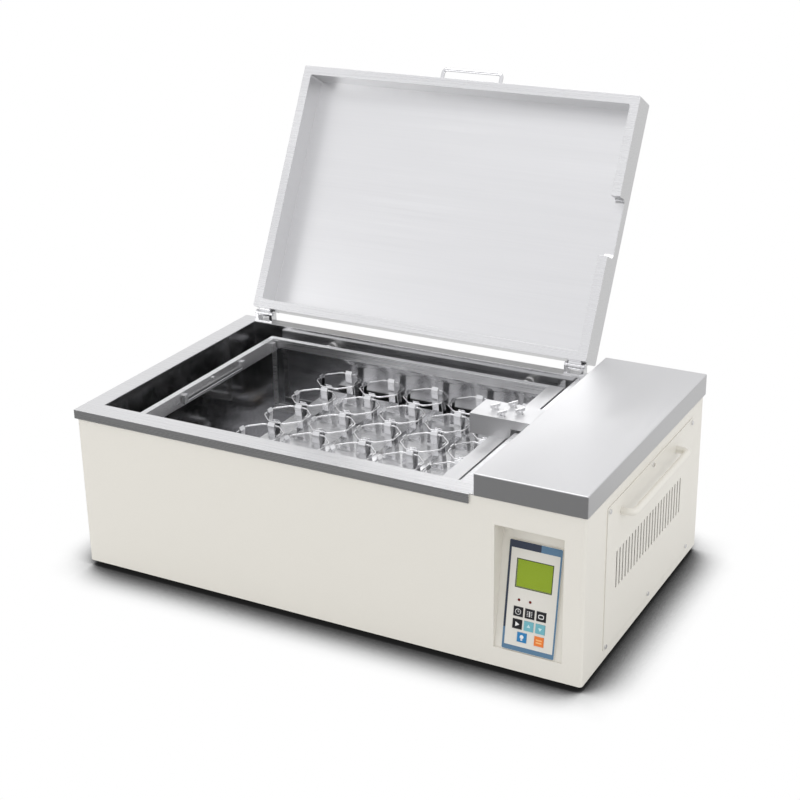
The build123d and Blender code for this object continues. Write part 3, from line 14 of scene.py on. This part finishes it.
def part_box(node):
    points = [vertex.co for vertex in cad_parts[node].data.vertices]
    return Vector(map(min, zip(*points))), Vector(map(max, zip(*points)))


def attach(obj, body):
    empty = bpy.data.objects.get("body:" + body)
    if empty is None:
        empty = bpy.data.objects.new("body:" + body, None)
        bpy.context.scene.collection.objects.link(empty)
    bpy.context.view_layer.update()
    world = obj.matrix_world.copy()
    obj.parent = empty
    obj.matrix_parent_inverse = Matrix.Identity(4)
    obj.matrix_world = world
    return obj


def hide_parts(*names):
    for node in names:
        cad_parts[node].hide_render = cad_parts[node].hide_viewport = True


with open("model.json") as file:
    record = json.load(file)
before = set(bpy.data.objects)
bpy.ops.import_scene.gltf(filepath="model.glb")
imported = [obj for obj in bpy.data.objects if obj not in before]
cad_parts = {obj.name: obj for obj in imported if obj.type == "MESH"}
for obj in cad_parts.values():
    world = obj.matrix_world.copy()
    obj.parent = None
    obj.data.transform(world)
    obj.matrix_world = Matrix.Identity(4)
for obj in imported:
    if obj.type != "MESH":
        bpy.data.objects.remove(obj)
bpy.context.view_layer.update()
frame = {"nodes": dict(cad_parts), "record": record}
nodes = frame["nodes"]
scene = bpy.context.scene

# %% [markdown]
# The camera comes first, because every later choice is judged through it. Three angles, one
# place and one lens say where the photographer stood; a small roll levels the long front edge.

# %% Camera
camera_place = Vector((1.3343, -2.4276, 1.4539))
camera_azimuth = radians(28.46)
camera_drop = radians(22.42)
camera_roll = radians(-0.93)
camera_lens = 73.62

looking = Vector(
    (
        -sin(camera_azimuth) * cos(camera_drop),
        cos(camera_azimuth) * cos(camera_drop),
        -sin(camera_drop),
    )
)
camera_data = bpy.data.cameras.new("camera")
camera_data.lens = camera_lens
camera_data.sensor_width = 36
camera_data.clip_end = 60
camera = bpy.data.objects.new("camera", camera_data)
scene.collection.objects.link(camera)
camera.location = camera_place
camera.rotation_mode = "QUATERNION"
camera.rotation_quaternion = looking.to_track_quat("-Z", "Y") @ Quaternion((0, 0, 1), camera_roll)
scene.camera = camera
print("the camera stands", round(camera_place.length, 2), "m from the base plate's centre")

# %% [markdown]
# Steel has no colour of its own to speak of: it shows the room. So the room is a pale studio
# with a bright back and ceiling and a greyer front, which leaves the top sheets bright and the
# lips that face the floor darker. The camera itself sees plain white.

# %% Studio room
scene.view_settings.view_transform = "Standard"
world = bpy.data.worlds.new("studio")
scene.world = world
world.use_nodes = True
room = world.node_tree
room.nodes.clear()
room_out = room.nodes.new("ShaderNodeOutputWorld")
room_mix = room.nodes.new("ShaderNodeMixShader")
room_white = room.nodes.new("ShaderNodeBackground")
room_light = room.nodes.new("ShaderNodeBackground")
room_path = room.nodes.new("ShaderNodeLightPath")
room_place = room.nodes.new("ShaderNodeTexCoord")
room_split = room.nodes.new("ShaderNodeSeparateXYZ")
room_height = room.nodes.new("ShaderNodeValToRGB")
room_depth = room.nodes.new("ShaderNodeValToRGB")
room_blend = room.nodes.new("ShaderNodeMix")
room_range = room.nodes.new("ShaderNodeMapRange")
room_white.inputs["Color"].default_value = (1, 1, 1, 1)
room_height.color_ramp.elements[0].position = 0.42
room_height.color_ramp.elements[0].color = (0.62, 0.62, 0.63, 1)
room_height.color_ramp.elements[1].position = 0.62
room_height.color_ramp.elements[1].color = (0.92, 0.92, 0.93, 1)
room_depth.color_ramp.elements[0].position = 0.3
room_depth.color_ramp.elements[0].color = (0.97, 0.97, 0.98, 1)
room_depth.color_ramp.elements[1].position = 0.62
room_depth.color_ramp.elements[1].color = (1, 1, 1, 1)
room_blend.data_type = "RGBA"
room_blend.blend_type = "MULTIPLY"
room_blend.inputs["Factor"].default_value = 1
room.links.new(room_place.outputs["Generated"], room_split.inputs["Vector"])
room_range.inputs["From Min"].default_value = -1
room.links.new(room_split.outputs["Z"], room_range.inputs["Value"])
room.links.new(room_range.outputs["Result"], room_height.inputs["Fac"])
room_range_y = room.nodes.new("ShaderNodeMapRange")
room_range_y.inputs["From Min"].default_value = -1
room.links.new(room_split.outputs["Y"], room_range_y.inputs["Value"])
room.links.new(room_range_y.outputs["Result"], room_depth.inputs["Fac"])
room.links.new(room_height.outputs["Color"], room_blend.inputs["A"])
room.links.new(room_depth.outputs["Color"], room_blend.inputs["B"])
room.links.new(room_blend.outputs["Result"], room_light.inputs["Color"])
room.links.new(room_path.outputs["Is Camera Ray"], room_mix.inputs["Fac"])
room.links.new(room_light.outputs["Background"], room_mix.inputs[1])
room.links.new(room_white.outputs["Background"], room_mix.inputs[2])
room.links.new(room_mix.outputs["Shader"], room_out.inputs["Surface"])


def softbox(name, place, aim, size, power):
    """A rectangular lamp that shines from a place towards a point."""
    data = bpy.data.lights.new(name, "AREA")
    data.shape = "RECTANGLE"
    data.size, data.size_y = size
    data.energy = power
    lamp = bpy.data.objects.new(name, data)
    lamp.location = place
    lamp.rotation_euler = (Vector(aim) - Vector(place)).to_track_quat("-Z", "Y").to_euler()
    scene.collection.objects.link(lamp)
    return lamp


softbox("overhead softbox", (-0.6, 0.2, 3.2), (0, 0, 0.2), (2.6, 2.0), 34)
softbox("front softbox", (-3.2, -2.6, 1.2), (0, 0, 0.2), (1.6, 1.4), 20)
softbox("right softbox", (3.4, -0.9, 1.4), (0.3, 0, 0.2), (1.4, 1.4), 12)

# %% [markdown]
# The floor is one white sheet. What the camera sees of it is shaded by how much of the sky each
# point has above it, which draws a tight contact shadow and leaves no horizon. In reflections
# the sheet darkens towards the front, as a studio does behind the lamps, so lips look greyer.

# %% Floor
feet_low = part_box("rubber_feet")[0].z
floor_half = 14.0
floor_mesh = bpy.data.meshes.new("floor")
floor_mesh.from_pydata(
    [(-floor_half, -floor_half, feet_low), (floor_half, -floor_half, feet_low),
     (floor_half, floor_half, feet_low), (-floor_half, floor_half, feet_low)],
    [],
    [(0, 1, 2, 3)],
)
floor = bpy.data.objects.new("floor", floor_mesh)
scene.collection.objects.link(floor)
floor_paint = bpy.data.materials.new("studio floor")
floor_paint.use_nodes = True
tree = floor_paint.node_tree
tree.nodes.clear()
floor_out = tree.nodes.new("ShaderNodeOutputMaterial")
floor_seen = tree.nodes.new("ShaderNodeEmission")
floor_shade = tree.nodes.new("ShaderNodeAmbientOcclusion")
floor_shade.samples = 16
floor_shade.inputs["Distance"].default_value = 0.11
floor_ramp = tree.nodes.new("ShaderNodeValToRGB")
for position, grey in ((0.3, 0.012), (0.5, 0.03), (0.64, 0.2), (0.78, 0.66), (0.92, 1.0)):
    stop = floor_ramp.color_ramp.elements.new(position)
    stop.color = (grey, grey, grey, 1)
floor_ramp.color_ramp.elements.remove(floor_ramp.color_ramp.elements[0])
floor_ramp.color_ramp.elements.remove(floor_ramp.color_ramp.elements[-1])
tree.links.new(floor_shade.outputs["AO"], floor_ramp.inputs["Fac"])
tree.links.new(floor_ramp.outputs["Color"], floor_seen.inputs["Color"])
floor_matt = tree.nodes.new("ShaderNodeBsdfDiffuse")
floor_matt.inputs["Color"].default_value = (0.85, 0.85, 0.85, 1)
floor_mirror = tree.nodes.new("ShaderNodeEmission")
floor_place = tree.nodes.new("ShaderNodeTexCoord")
floor_split = tree.nodes.new("ShaderNodeSeparateXYZ")
floor_front = tree.nodes.new("ShaderNodeMapRange")
floor_front.inputs["From Min"].default_value = -0.4
floor_front.inputs["From Max"].default_value = 0.5
floor_front.inputs["To Min"].default_value = 0.22
floor_front.inputs["To Max"].default_value = 0.75
tree.links.new(floor_place.outputs["Object"], floor_split.inputs["Vector"])
tree.links.new(floor_split.outputs["Y"], floor_front.inputs["Value"])
tree.links.new(floor_front.outputs["Result"], floor_mirror.inputs["Strength"])
floor_path = tree.nodes.new("ShaderNodeLightPath")
floor_glossy = tree.nodes.new("ShaderNodeMixShader")
floor_mix = tree.nodes.new("ShaderNodeMixShader")
tree.links.new(floor_path.outputs["Is Glossy Ray"], floor_glossy.inputs["Fac"])
tree.links.new(floor_matt.outputs["BSDF"], floor_glossy.inputs[1])
tree.links.new(floor_mirror.outputs["Emission"], floor_glossy.inputs[2])
tree.links.new(floor_path.outputs["Is Camera Ray"], floor_mix.inputs["Fac"])
tree.links.new(floor_glossy.outputs["Shader"], floor_mix.inputs[1])
tree.links.new(floor_seen.outputs["Emission"], floor_mix.inputs[2])
tree.links.new(floor_mix.outputs["Shader"], floor_out.inputs["Surface"])
floor_mesh.materials.append(floor_paint)
print("the floor lies at", round(feet_low * 1000, 1), "mm")

# %% [markdown]
# Every finish below is a shader with a grain of its own. Two helpers keep them short: one makes
# the shader with its plain values, the other lets a stretched noise vary the roughness and lift
# the surface a little. The noise lives in the bath's own metres, so its scale is real.

# %% Finish helpers
def finish(name, color, metallic, roughness, **more):
    """A new material with its plain values set on the shader's own sockets."""
    material = bpy.data.materials.new(name)
    material.use_nodes = True
    shader = material.node_tree.nodes["Principled BSDF"]
    shader.inputs["Base Color"].default_value = (*color, 1)
    shader.inputs["Metallic"].default_value = metallic
    shader.inputs["Roughness"].default_value = roughness
    for socket, value in more.items():
        shader.inputs[socket.replace("_", " ")].default_value = value
    return material


def grain(material, stretch, rough, lift, detail=3.0, colors=None, edge=0.0):
    """Stretched noise: a roughness range, a bump height and, where given, a colour range."""
    tree = material.node_tree
    shader = tree.nodes["Principled BSDF"]
    place = tree.nodes.new("ShaderNodeTexCoord")
    mapping = tree.nodes.new("ShaderNodeMapping")
    mapping.inputs["Scale"].default_value = stretch
    noise = tree.nodes.new("ShaderNodeTexNoise")
    noise.inputs["Scale"].default_value = 1
    noise.inputs["Detail"].default_value = detail
    tree.links.new(place.outputs["Object"], mapping.inputs["Vector"])
    tree.links.new(mapping.outputs["Vector"], noise.inputs["Vector"])
    span = tree.nodes.new("ShaderNodeMapRange")
    span.inputs["From Min"].default_value = 0.3
    span.inputs["From Max"].default_value = 0.7
    span.inputs["To Min"].default_value = rough[0]
    span.inputs["To Max"].default_value = rough[1]
    tree.links.new(noise.outputs["Fac"], span.inputs["Value"])
    tree.links.new(span.outputs["Result"], shader.inputs["Roughness"])
    bump = tree.nodes.new("ShaderNodeBump")
    bump.inputs["Strength"].default_value = 1
    bump.inputs["Distance"].default_value = lift
    tree.links.new(noise.outputs["Fac"], bump.inputs["Height"])
    if edge:
        rounding = tree.nodes.new("ShaderNodeBevel")
        rounding.samples = 4
        rounding.inputs["Radius"].default_value = edge
        tree.links.new(rounding.outputs["Normal"], bump.inputs["Normal"])
    tree.links.new(bump.outputs["Normal"], shader.inputs["Normal"])
    if colors:
        blend = tree.nodes.new("ShaderNodeMix")
        blend.data_type = "RGBA"
        blend.inputs["A"].default_value = (*colors[0], 1)
        blend.inputs["B"].default_value = (*colors[1], 1)
        tree.links.new(noise.outputs["Fac"], blend.inputs["Factor"])
        tree.links.new(blend.outputs["Result"], shader.inputs["Base Color"])
    return material


def dress(material, *names):
    """Gives a finish to solid parts by name."""
    for name in names:
        nodes[name].data.materials.clear()
        nodes[name].data.materials.append(material)


# %% [markdown]
# The casing is powder-coated sheet: a warm off-white with a faint orange peel and soft edges.

# %% Enamel
enamel = grain(
    finish("cream enamel", (0.76, 0.735, 0.665), 0, 0.36, Coat_Weight=0.25, Coat_Roughness=0.2),
    (260, 260, 260), (0.32, 0.42), 0.00004,
    colors=((0.755, 0.73, 0.662), (0.775, 0.75, 0.68)), edge=0.0012,
)
dress(enamel, "outer_casing", "side_panel", "carry_handles", "panel_pocket")
print("enamel on", 4, "parts")

# %% [markdown]
# Brushed stainless is a mirror scratched one way. Noise stretched along the brushing direction
# makes the long hair-lines; anisotropy smears reflections across them, as on a real lid.

# %% Stainless steels
brushed_long = grain(
    finish("brushed stainless", (0.74, 0.74, 0.745), 1, 0.28, Anisotropic=0.4),
    (4, 900, 900), (0.24, 0.36), 0.000012, colors=((0.71, 0.71, 0.715), (0.77, 0.77, 0.775)),
    edge=0.0008,
)
brushed_cross = grain(
    finish("brushed cover stainless", (0.76, 0.76, 0.765), 1, 0.3, Anisotropic=0.4),
    (900, 4, 900), (0.36, 0.48), 0.000012, colors=((0.64, 0.64, 0.645), (0.7, 0.7, 0.705)),
    edge=0.0008,
)
satin_liner = grain(
    finish("satin lid liner", (0.77, 0.77, 0.775), 1, 0.3),
    (3, 300, 300), (0.28, 0.36), 0.000003, colors=((0.75, 0.75, 0.755), (0.79, 0.79, 0.795)),
)
tank_steel = grain(
    finish("drawn tank stainless", (0.6, 0.6, 0.61), 1, 0.16),
    (12, 60, 60), (0.1, 0.2), 0.000015, colors=((0.56, 0.56, 0.57), (0.64, 0.64, 0.65)),
    edge=0.0008,
)
polished = grain(
    finish("polished spring steel", (0.78, 0.78, 0.79), 1, 0.12),
    (90, 90, 90), (0.08, 0.16), 0.000008, edge=0.0004,
)
zinc = grain(
    finish("zinc plate", (0.55, 0.56, 0.58), 1, 0.4),
    (70, 70, 70), (0.32, 0.5), 0.00001, colors=((0.5, 0.51, 0.53), (0.62, 0.63, 0.65)),
)
alloy = grain(finish("turned alloy", (0.68, 0.69, 0.7), 1, 0.3), (300, 300, 20), (0.25, 0.38), 0.00001)
iron = grain(finish("painted casting", (0.03, 0.035, 0.04), 0, 0.5), (150, 150, 150), (0.4, 0.6), 0.0001)
brass = grain(
    finish("cast brass", (0.72, 0.53, 0.25), 1, 0.3), (80, 80, 80), (0.24, 0.4), 0.00003
)
dress(brushed_long, "lid_shell")
dress(brushed_cross, "motor_cover")
dress(satin_liner, "lid_liner")
dress(tank_steel, "water_tank", "roller_rails", "heater_clips")
dress(brushed_long, "cradle_left_end", "cradle_rails", "tank_rim", "cradle_hangers", "clamp_tray")
dress(brushed_cross, "cradle_right_end", "drive_arm")
dress(polished, "clamp_bases", "clamp_fingers", "clamp_springs", "arm_fasteners", "lid_handle")
dress(polished, "lid_hinge_leaves", "lid_hinge_straps", "side_panel_screws", "heater_element")
dress(polished, "temperature_probe")
dress(zinc, "base_plate", "bulkhead", "power_supply", "motor_bracket", "connecting_rod")
dress(alloy, "crank_wheel", "motor_pulley")
dress(iron, "drive_motor", "crank_bearing")
dress(brass, "drain_outlet")
print("steel and metal finishes are on")

# %% [markdown]
# Plastics, rubber and foam: each has a fine texture and its own gloss.

# %% Plastics, rubber and foam
black_plastic = grain(
    finish("black moulded plastic", (0.02, 0.02, 0.022), 0, 0.45), (900, 900, 900), (0.4, 0.55), 0.00003
)
rubber = grain(finish("black rubber", (0.018, 0.018, 0.018), 0, 0.7), (400, 400, 400), (0.6, 0.8), 0.00008)
acetal = grain(finish("white acetal", (0.8, 0.8, 0.78), 0, 0.4), (300, 300, 300), (0.35, 0.5), 0.00002)
foam = grain(finish("insulating foam", (0.72, 0.69, 0.58), 0, 0.9), (120, 120, 120), (0.85, 0.95), 0.0008)
red_dip = grain(finish("red dipped plastic", (0.42, 0.02, 0.015), 0, 0.3), (200, 200, 200), (0.25, 0.4), 0.00005)
board_green = grain(finish("circuit board", (0.02, 0.14, 0.05), 0, 0.4), (60, 60, 60), (0.3, 0.5), 0.00002)
lamp_red = grain(
    finish("lamp lens", (0.22, 0.03, 0.025), 0, 0.2, Transmission_Weight=0.3), (50, 50, 50), (0.15, 0.25), 0.0
)
dress(black_plastic, "power_inlet", "switch_frame", "switch_rocker")
dress(rubber, "rubber_feet", "drive_belt")
dress(acetal, "roller_front_left", "roller_front_right", "roller_rear_left", "roller_rear_right")
dress(foam, "tank_insulation")
dress(red_dip, "drain_lever")
dress(board_green, "control_board")
dress(lamp_red, "indicator_leds")
print("plastic, rubber and foam finishes are on")

# %% [markdown]
# The keypad is a printed membrane: an off-white field, and keys in black, teal, blue and orange
# with a soft gloss. Each key's colour is one plain value under a fine film texture.

# %% Keypad finishes
def membrane(name, color):
    """Glossy printed film with a very fine texture."""
    return grain(
        finish(name, color, 0, 0.3, Coat_Weight=0.3, Coat_Roughness=0.15),
        (1500, 1500, 1500), (0.26, 0.36), 0.000006,
    )


field_film = membrane("off-white field", (0.72, 0.7, 0.64))
key_black = membrane("black key film", (0.012, 0.012, 0.014))
key_teal = membrane("teal key film", (0.16, 0.44, 0.5))
key_blue = membrane("blue key film", (0.02, 0.2, 0.45))
key_orange = membrane("orange key film", (0.8, 0.2, 0.03))
display_film = membrane("display glass", (0.27, 0.38, 0.012))
dress(field_film, "keypad_plate")
dress(key_black, "key_menu", "key_timer", "key_mode", "key_left")
dress(key_teal, "key_up", "key_down")
dress(key_blue, "key_light")
dress(key_orange, "key_run")
dress(display_film, "display_module")
print("the keypad has its colours")

# %% [markdown]
# What is printed on the film is a second, very thin layer. It needs the panel's own directions:
# the keys are pressed along the panel's normal, so a key's joint gives it, and the slope follows.
# A flat curve with a hair of thickness makes each figure, and a closed line inside another cuts
# a hole in it.

# %% Printing on the panel
press = next(j for j in frame["record"]["behaviour"]["joints"] if j["name"] == "key_menu_press")
panel_out = -Vector(press["axis"]).normalized()
panel_right = Vector((1, 0, 0))
panel_up = panel_out.cross(panel_right)
film_half = 0.00003


def panel_face(name):
    """The middle of a panel part's front face, as a frame, and the face's half width and height."""
    places = [vertex.co for vertex in nodes[name].data.vertices]
    spans = []
    for direction in (panel_right, panel_up, panel_out):
        along = [place.dot(direction) for place in places]
        spans.append((min(along), max(along)))
    middle = panel_right * sum(spans[0]) / 2 + panel_up * sum(spans[1]) / 2 + panel_out * spans[2][1]
    turned = Matrix((panel_right, panel_up, panel_out)).transposed().to_4x4()
    halves = [(high - low) / 2 for low, high in spans[:2]]
    return Matrix.Translation(middle) @ turned, halves[0], halves[1]


def print_film(name, face, body, material, shapes, layer=0):
    """A thin printed figure on a face; a shape inside another shape is a hole."""
    curve = bpy.data.curves.new(name, "CURVE")
    curve.dimensions = "2D"
    curve.fill_mode = "BOTH"
    curve.extrude = film_half
    for points in shapes:
        spline = curve.splines.new("POLY")
        spline.points.add(len(points) - 1)
        for point, (across, up) in zip(spline.points, points):
            point.co = (across, up, 0, 1)
        spline.use_cyclic_u = True
    curve.materials.append(material)
    piece = bpy.data.objects.new(name, curve)
    piece.matrix_world = face @ Matrix.Translation((0, 0, film_half * (0.8 + layer)))
    scene.collection.objects.link(piece)
    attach(piece, body)
    return piece


def disc(radius, middle=(0, 0), sides=32, first=0.0):
    """The corners of a regular figure about a middle."""
    turns = [first + 2 * pi * side / sides for side in range(sides)]
    return [(middle[0] + radius * cos(turn), middle[1] + radius * sin(turn)) for turn in turns]


def bar(low, high):
    """A rectangle between two corners."""
    return [low, (high[0], low[1]), high, (low[0], high[1])]


def round_bar(low, high, radius, steps=6):
    """A rectangle with round corners."""
    outline = []
    for quarter, (x, y) in enumerate(((1, 1), (-1, 1), (-1, -1), (1, -1))):
        middle_x = (high[0] - radius) if x > 0 else (low[0] + radius)
        middle_y = (high[1] - radius) if y > 0 else (low[1] + radius)
        for step in range(steps + 1):
            turn = pi / 2 * (quarter + step / steps)
            outline.append((middle_x + radius * cos(turn), middle_y + radius * sin(turn)))
    return outline


print("the panel leans back by", round(90 - degrees(panel_up.angle(Vector((0, 1, 0))))), "degrees")

# %% [markdown]
# The field has a blue border: a deep header, narrow sides and a blue foot. A navy layer over the
# header's left part and down the left side is painted shade on that blue. A dark line frames the display window.

# %% Border and window line
# The navy print is painted shade, laid over the blue border at its upper left.
painted_shade_print = membrane("painted shade print", (0.035, 0.045, 0.075))
border_blue = membrane("blue print", (0.1, 0.2, 0.31))
window_line = membrane("dark window print", (0.06, 0.08, 0.02))
plate_face, plate_wide, plate_tall = panel_face("keypad_plate")
print_edge = 0.0004
header_height = 0.0128
foot_height = 0.0085
side_left = 0.004
side_right = 0.0032
# These two shares say how far the painted shade reaches along the header and down the left side.
painted_shade_share = 0.6
painted_shade_foot = 0.2
edge_x = plate_wide - print_edge
edge_y = plate_tall - print_edge
outer_border = round_bar((-edge_x, -edge_y), (edge_x, edge_y), 0.0026)
inner_border = round_bar(
    (-edge_x + side_left, -edge_y + foot_height), (edge_x - side_right, edge_y - header_height), 0.001
)
print_film(
    "panel_border", plate_face, "casing", border_blue, [outer_border, inner_border]
)
painted_shade_end = -edge_x + 2 * edge_x * painted_shade_share
painted_shade_low = -edge_y + 2 * edge_y * painted_shade_foot
# The outline of the painted shade: the header's left part, its round corner and the left side.
painted_shade_shape = [(painted_shade_end, edge_y - header_height), (painted_shade_end, edge_y)]
for step in range(7):
    turn = pi / 2 * (1 + step / 6)
    corner = (-edge_x + 0.0026 + 0.0026 * cos(turn), edge_y - 0.0026 + 0.0026 * sin(turn))
    painted_shade_shape.append(corner)
painted_shade_shape += [(-edge_x, painted_shade_low), (-edge_x + side_left, painted_shade_low)]
painted_shade_shape += [(-edge_x + side_left, edge_y - header_height)]
print_film(
    "panel_painted_shade", plate_face, "casing", painted_shade_print, [painted_shade_shape], layer=0.6
)
window_face, window_wide, window_tall = panel_face("display_module")
window_flange = Vector((0.005, 0.004))
window_gap = 0.0002
window_print = 0.0016
window_middle = (plate_face.inverted() @ window_face.translation).xy
window_half = Vector((window_wide, window_tall)) - window_flange
window_shapes = []
for margin in (window_gap + window_print, window_gap):
    reach = window_half + Vector((margin, margin))
    window_shapes.append(bar(tuple(window_middle - reach), tuple(window_middle + reach)))
print_film("window_line", plate_face, "casing", window_line, window_shapes)
print("border printed on a field of", round(plate_wide * 2000), "by", round(plate_tall * 2000), "mm")

# %% [markdown]
# Each key carries a plain sign in the middle of its face: a clock, a scale, a loop, arrows, a
# lamp and two bars. They ride on their own keys, so a pressed key takes its sign along.

# %% Key signs
sign_white = membrane("white print", (0.8, 0.8, 0.78))
sign_pale = membrane("pale print", (0.55, 0.74, 0.76))
sign_sun = membrane("pale orange print", (0.9, 0.5, 0.2))
clock = [disc(0.0052), disc(0.0043)]
hands = [(-0.0004, -0.0004), (0.0026, -0.0004), (0.0026, 0.0004), (0.0004, 0.0004), (0.0004, 0.0034),
         (-0.0004, 0.0034)]
scale_bars = [bar((-0.0009, -0.0048), (0.0009, 0.0048))]
for row in range(4):
    low = -0.0042 + row * 0.0026
    scale_bars.append(bar((0.0022, low), (0.005, low + 0.0008)))
    scale_bars.append(bar((-0.005, low), (-0.0022, low + 0.0008)))
loop = [
    round_bar((-0.005, -0.0038), (0.005, 0.0038), 0.0026),
    round_bar((-0.0038, -0.0024), (0.0038, 0.0024), 0.0018),
]
play = [[(-0.003, -0.0042), (0.0042, 0), (-0.003, 0.0042)]]
lamp_sign = [disc(0.0034, (0, 0.0012)), bar((-0.0016, -0.005), (0.0016, -0.0028))]
two_bars = [bar((-0.0052, 0.0012), (0.0052, 0.0034)), bar((-0.0052, -0.0034), (0.0052, -0.0012))]
signs = {
    "key_menu": (sign_white, "key_black", clock + [hands]),
    "key_timer": (sign_white, "key_black", scale_bars),
    "key_mode": (sign_white, "key_black", loop),
    "key_left": (sign_white, "key_black", play),
    "key_up": (sign_pale, "key_teal", [disc(0.0038, sides=3, first=pi / 2)]),
    "key_down": (sign_pale, "key_teal", [disc(0.0038, sides=3, first=-pi / 2)]),
    "key_light": (sign_white, "key_blue", lamp_sign),
    "key_run": (sign_sun, "key_orange", two_bars),
}
for key_name, (ink, key_slot, shapes) in signs.items():
    key_face, key_wide, key_tall = panel_face(key_name)
    print_film("sign_" + key_name, key_face, "body_" + key_name, ink, shapes)
print(len(signs), "keys have their signs")

# %% [markdown]
# Small repeated parts are found in their solid's mesh as islands: groups of faces that no edge
# joins to the rest. Each island's box then says where one spring or one screw belongs.

# %% Islands of a solid
def islands(name):
    """The boxes of a solid part's separate lumps, each as its lowest and highest corner."""
    lumps = bmesh.new()
    lumps.from_mesh(nodes[name].data)
    bmesh.ops.remove_doubles(lumps, verts=lumps.verts, dist=0.000002)
    unseen = set(lumps.verts)
    boxes = []
    while unseen:
        front = [unseen.pop()]
        lump = list(front)
        while front:
            for edge in front.pop().link_edges:
                for vertex in edge.verts:
                    if vertex in unseen:
                        unseen.remove(vertex)
                        front.append(vertex)
                        lump.append(vertex)
        low = Vector([min(vertex.co[axis] for vertex in lump) for axis in range(3)])
        high = Vector([max(vertex.co[axis] for vertex in lump) for axis in range(3)])
        boxes.append((low, high))
    lumps.free()
    return sorted(boxes, key=lambda corners: tuple(round(value, 4) for value in corners[0]))


def mesh_piece(name, body, slot, material, vertices, faces, *replaced):
    """A mesh in the bath's own frame that rides on a body and stands for solid parts."""
    mesh = bpy.data.meshes.new(name)
    mesh.from_pydata(vertices, [], faces)
    mesh.update()
    mesh.shade_smooth()
    mesh.materials.append(material)
    piece = bpy.data.objects.new(name, mesh)
    scene.collection.objects.link(piece)
    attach(piece, body)
    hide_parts(*replaced)
    return piece


hoops = islands("clamp_springs")
panel_screws = islands("side_panel_screws")
print(len(hoops), "spring hoops and", len(panel_screws), "panel screws found")

# %% [markdown]
# A garter spring is a coil closed into a ring. Its wire is too fine to see turn by turn, so the
# ring is a tube whose radius ripples along its length. Eight fingers pull it into eight sides:
# the radius of the ring follows the octagon and is held back a little at the corners.

# %% Garter springs
ring_steps = 240
tube_sides = 8
corner_hold = 1.055
ripple = 0.2
spring_vertices = []
spring_faces = []
for low, high in hoops:
    middle = (low + high) / 2
    wire_half = (high.z - low.z) / 2
    reach = (high.x - low.x) / 2 - wire_half
    first = len(spring_vertices)
    for step in range(ring_steps):
        turn = 2 * pi * step / ring_steps
        off_side = (turn + pi / 8) % (pi / 4) - pi / 8
        radius = reach * min(1 / cos(off_side), corner_hold)
        swell = wire_half * (1 - ripple * (step % 2))
        for side in range(tube_sides):
            lean = 2 * pi * side / tube_sides
            out = radius + swell * cos(lean)
            spring_vertices.append(
                (middle.x + out * cos(turn), middle.y + out * sin(turn), middle.z + swell * sin(lean))
            )
    for step in range(ring_steps):
        here = first + step * tube_sides
        there = first + (step + 1) % ring_steps * tube_sides
        for side in range(tube_sides):
            beside = (side + 1) % tube_sides
            spring_faces.append((here + side, there + side, there + beside, here + beside))
mesh_piece(
    "garter_springs", "cradle", "polished_steel", polished, spring_vertices, spring_faces,
    "clamp_springs",
)
print(len(hoops), "garter springs with", len(spring_faces), "faces")
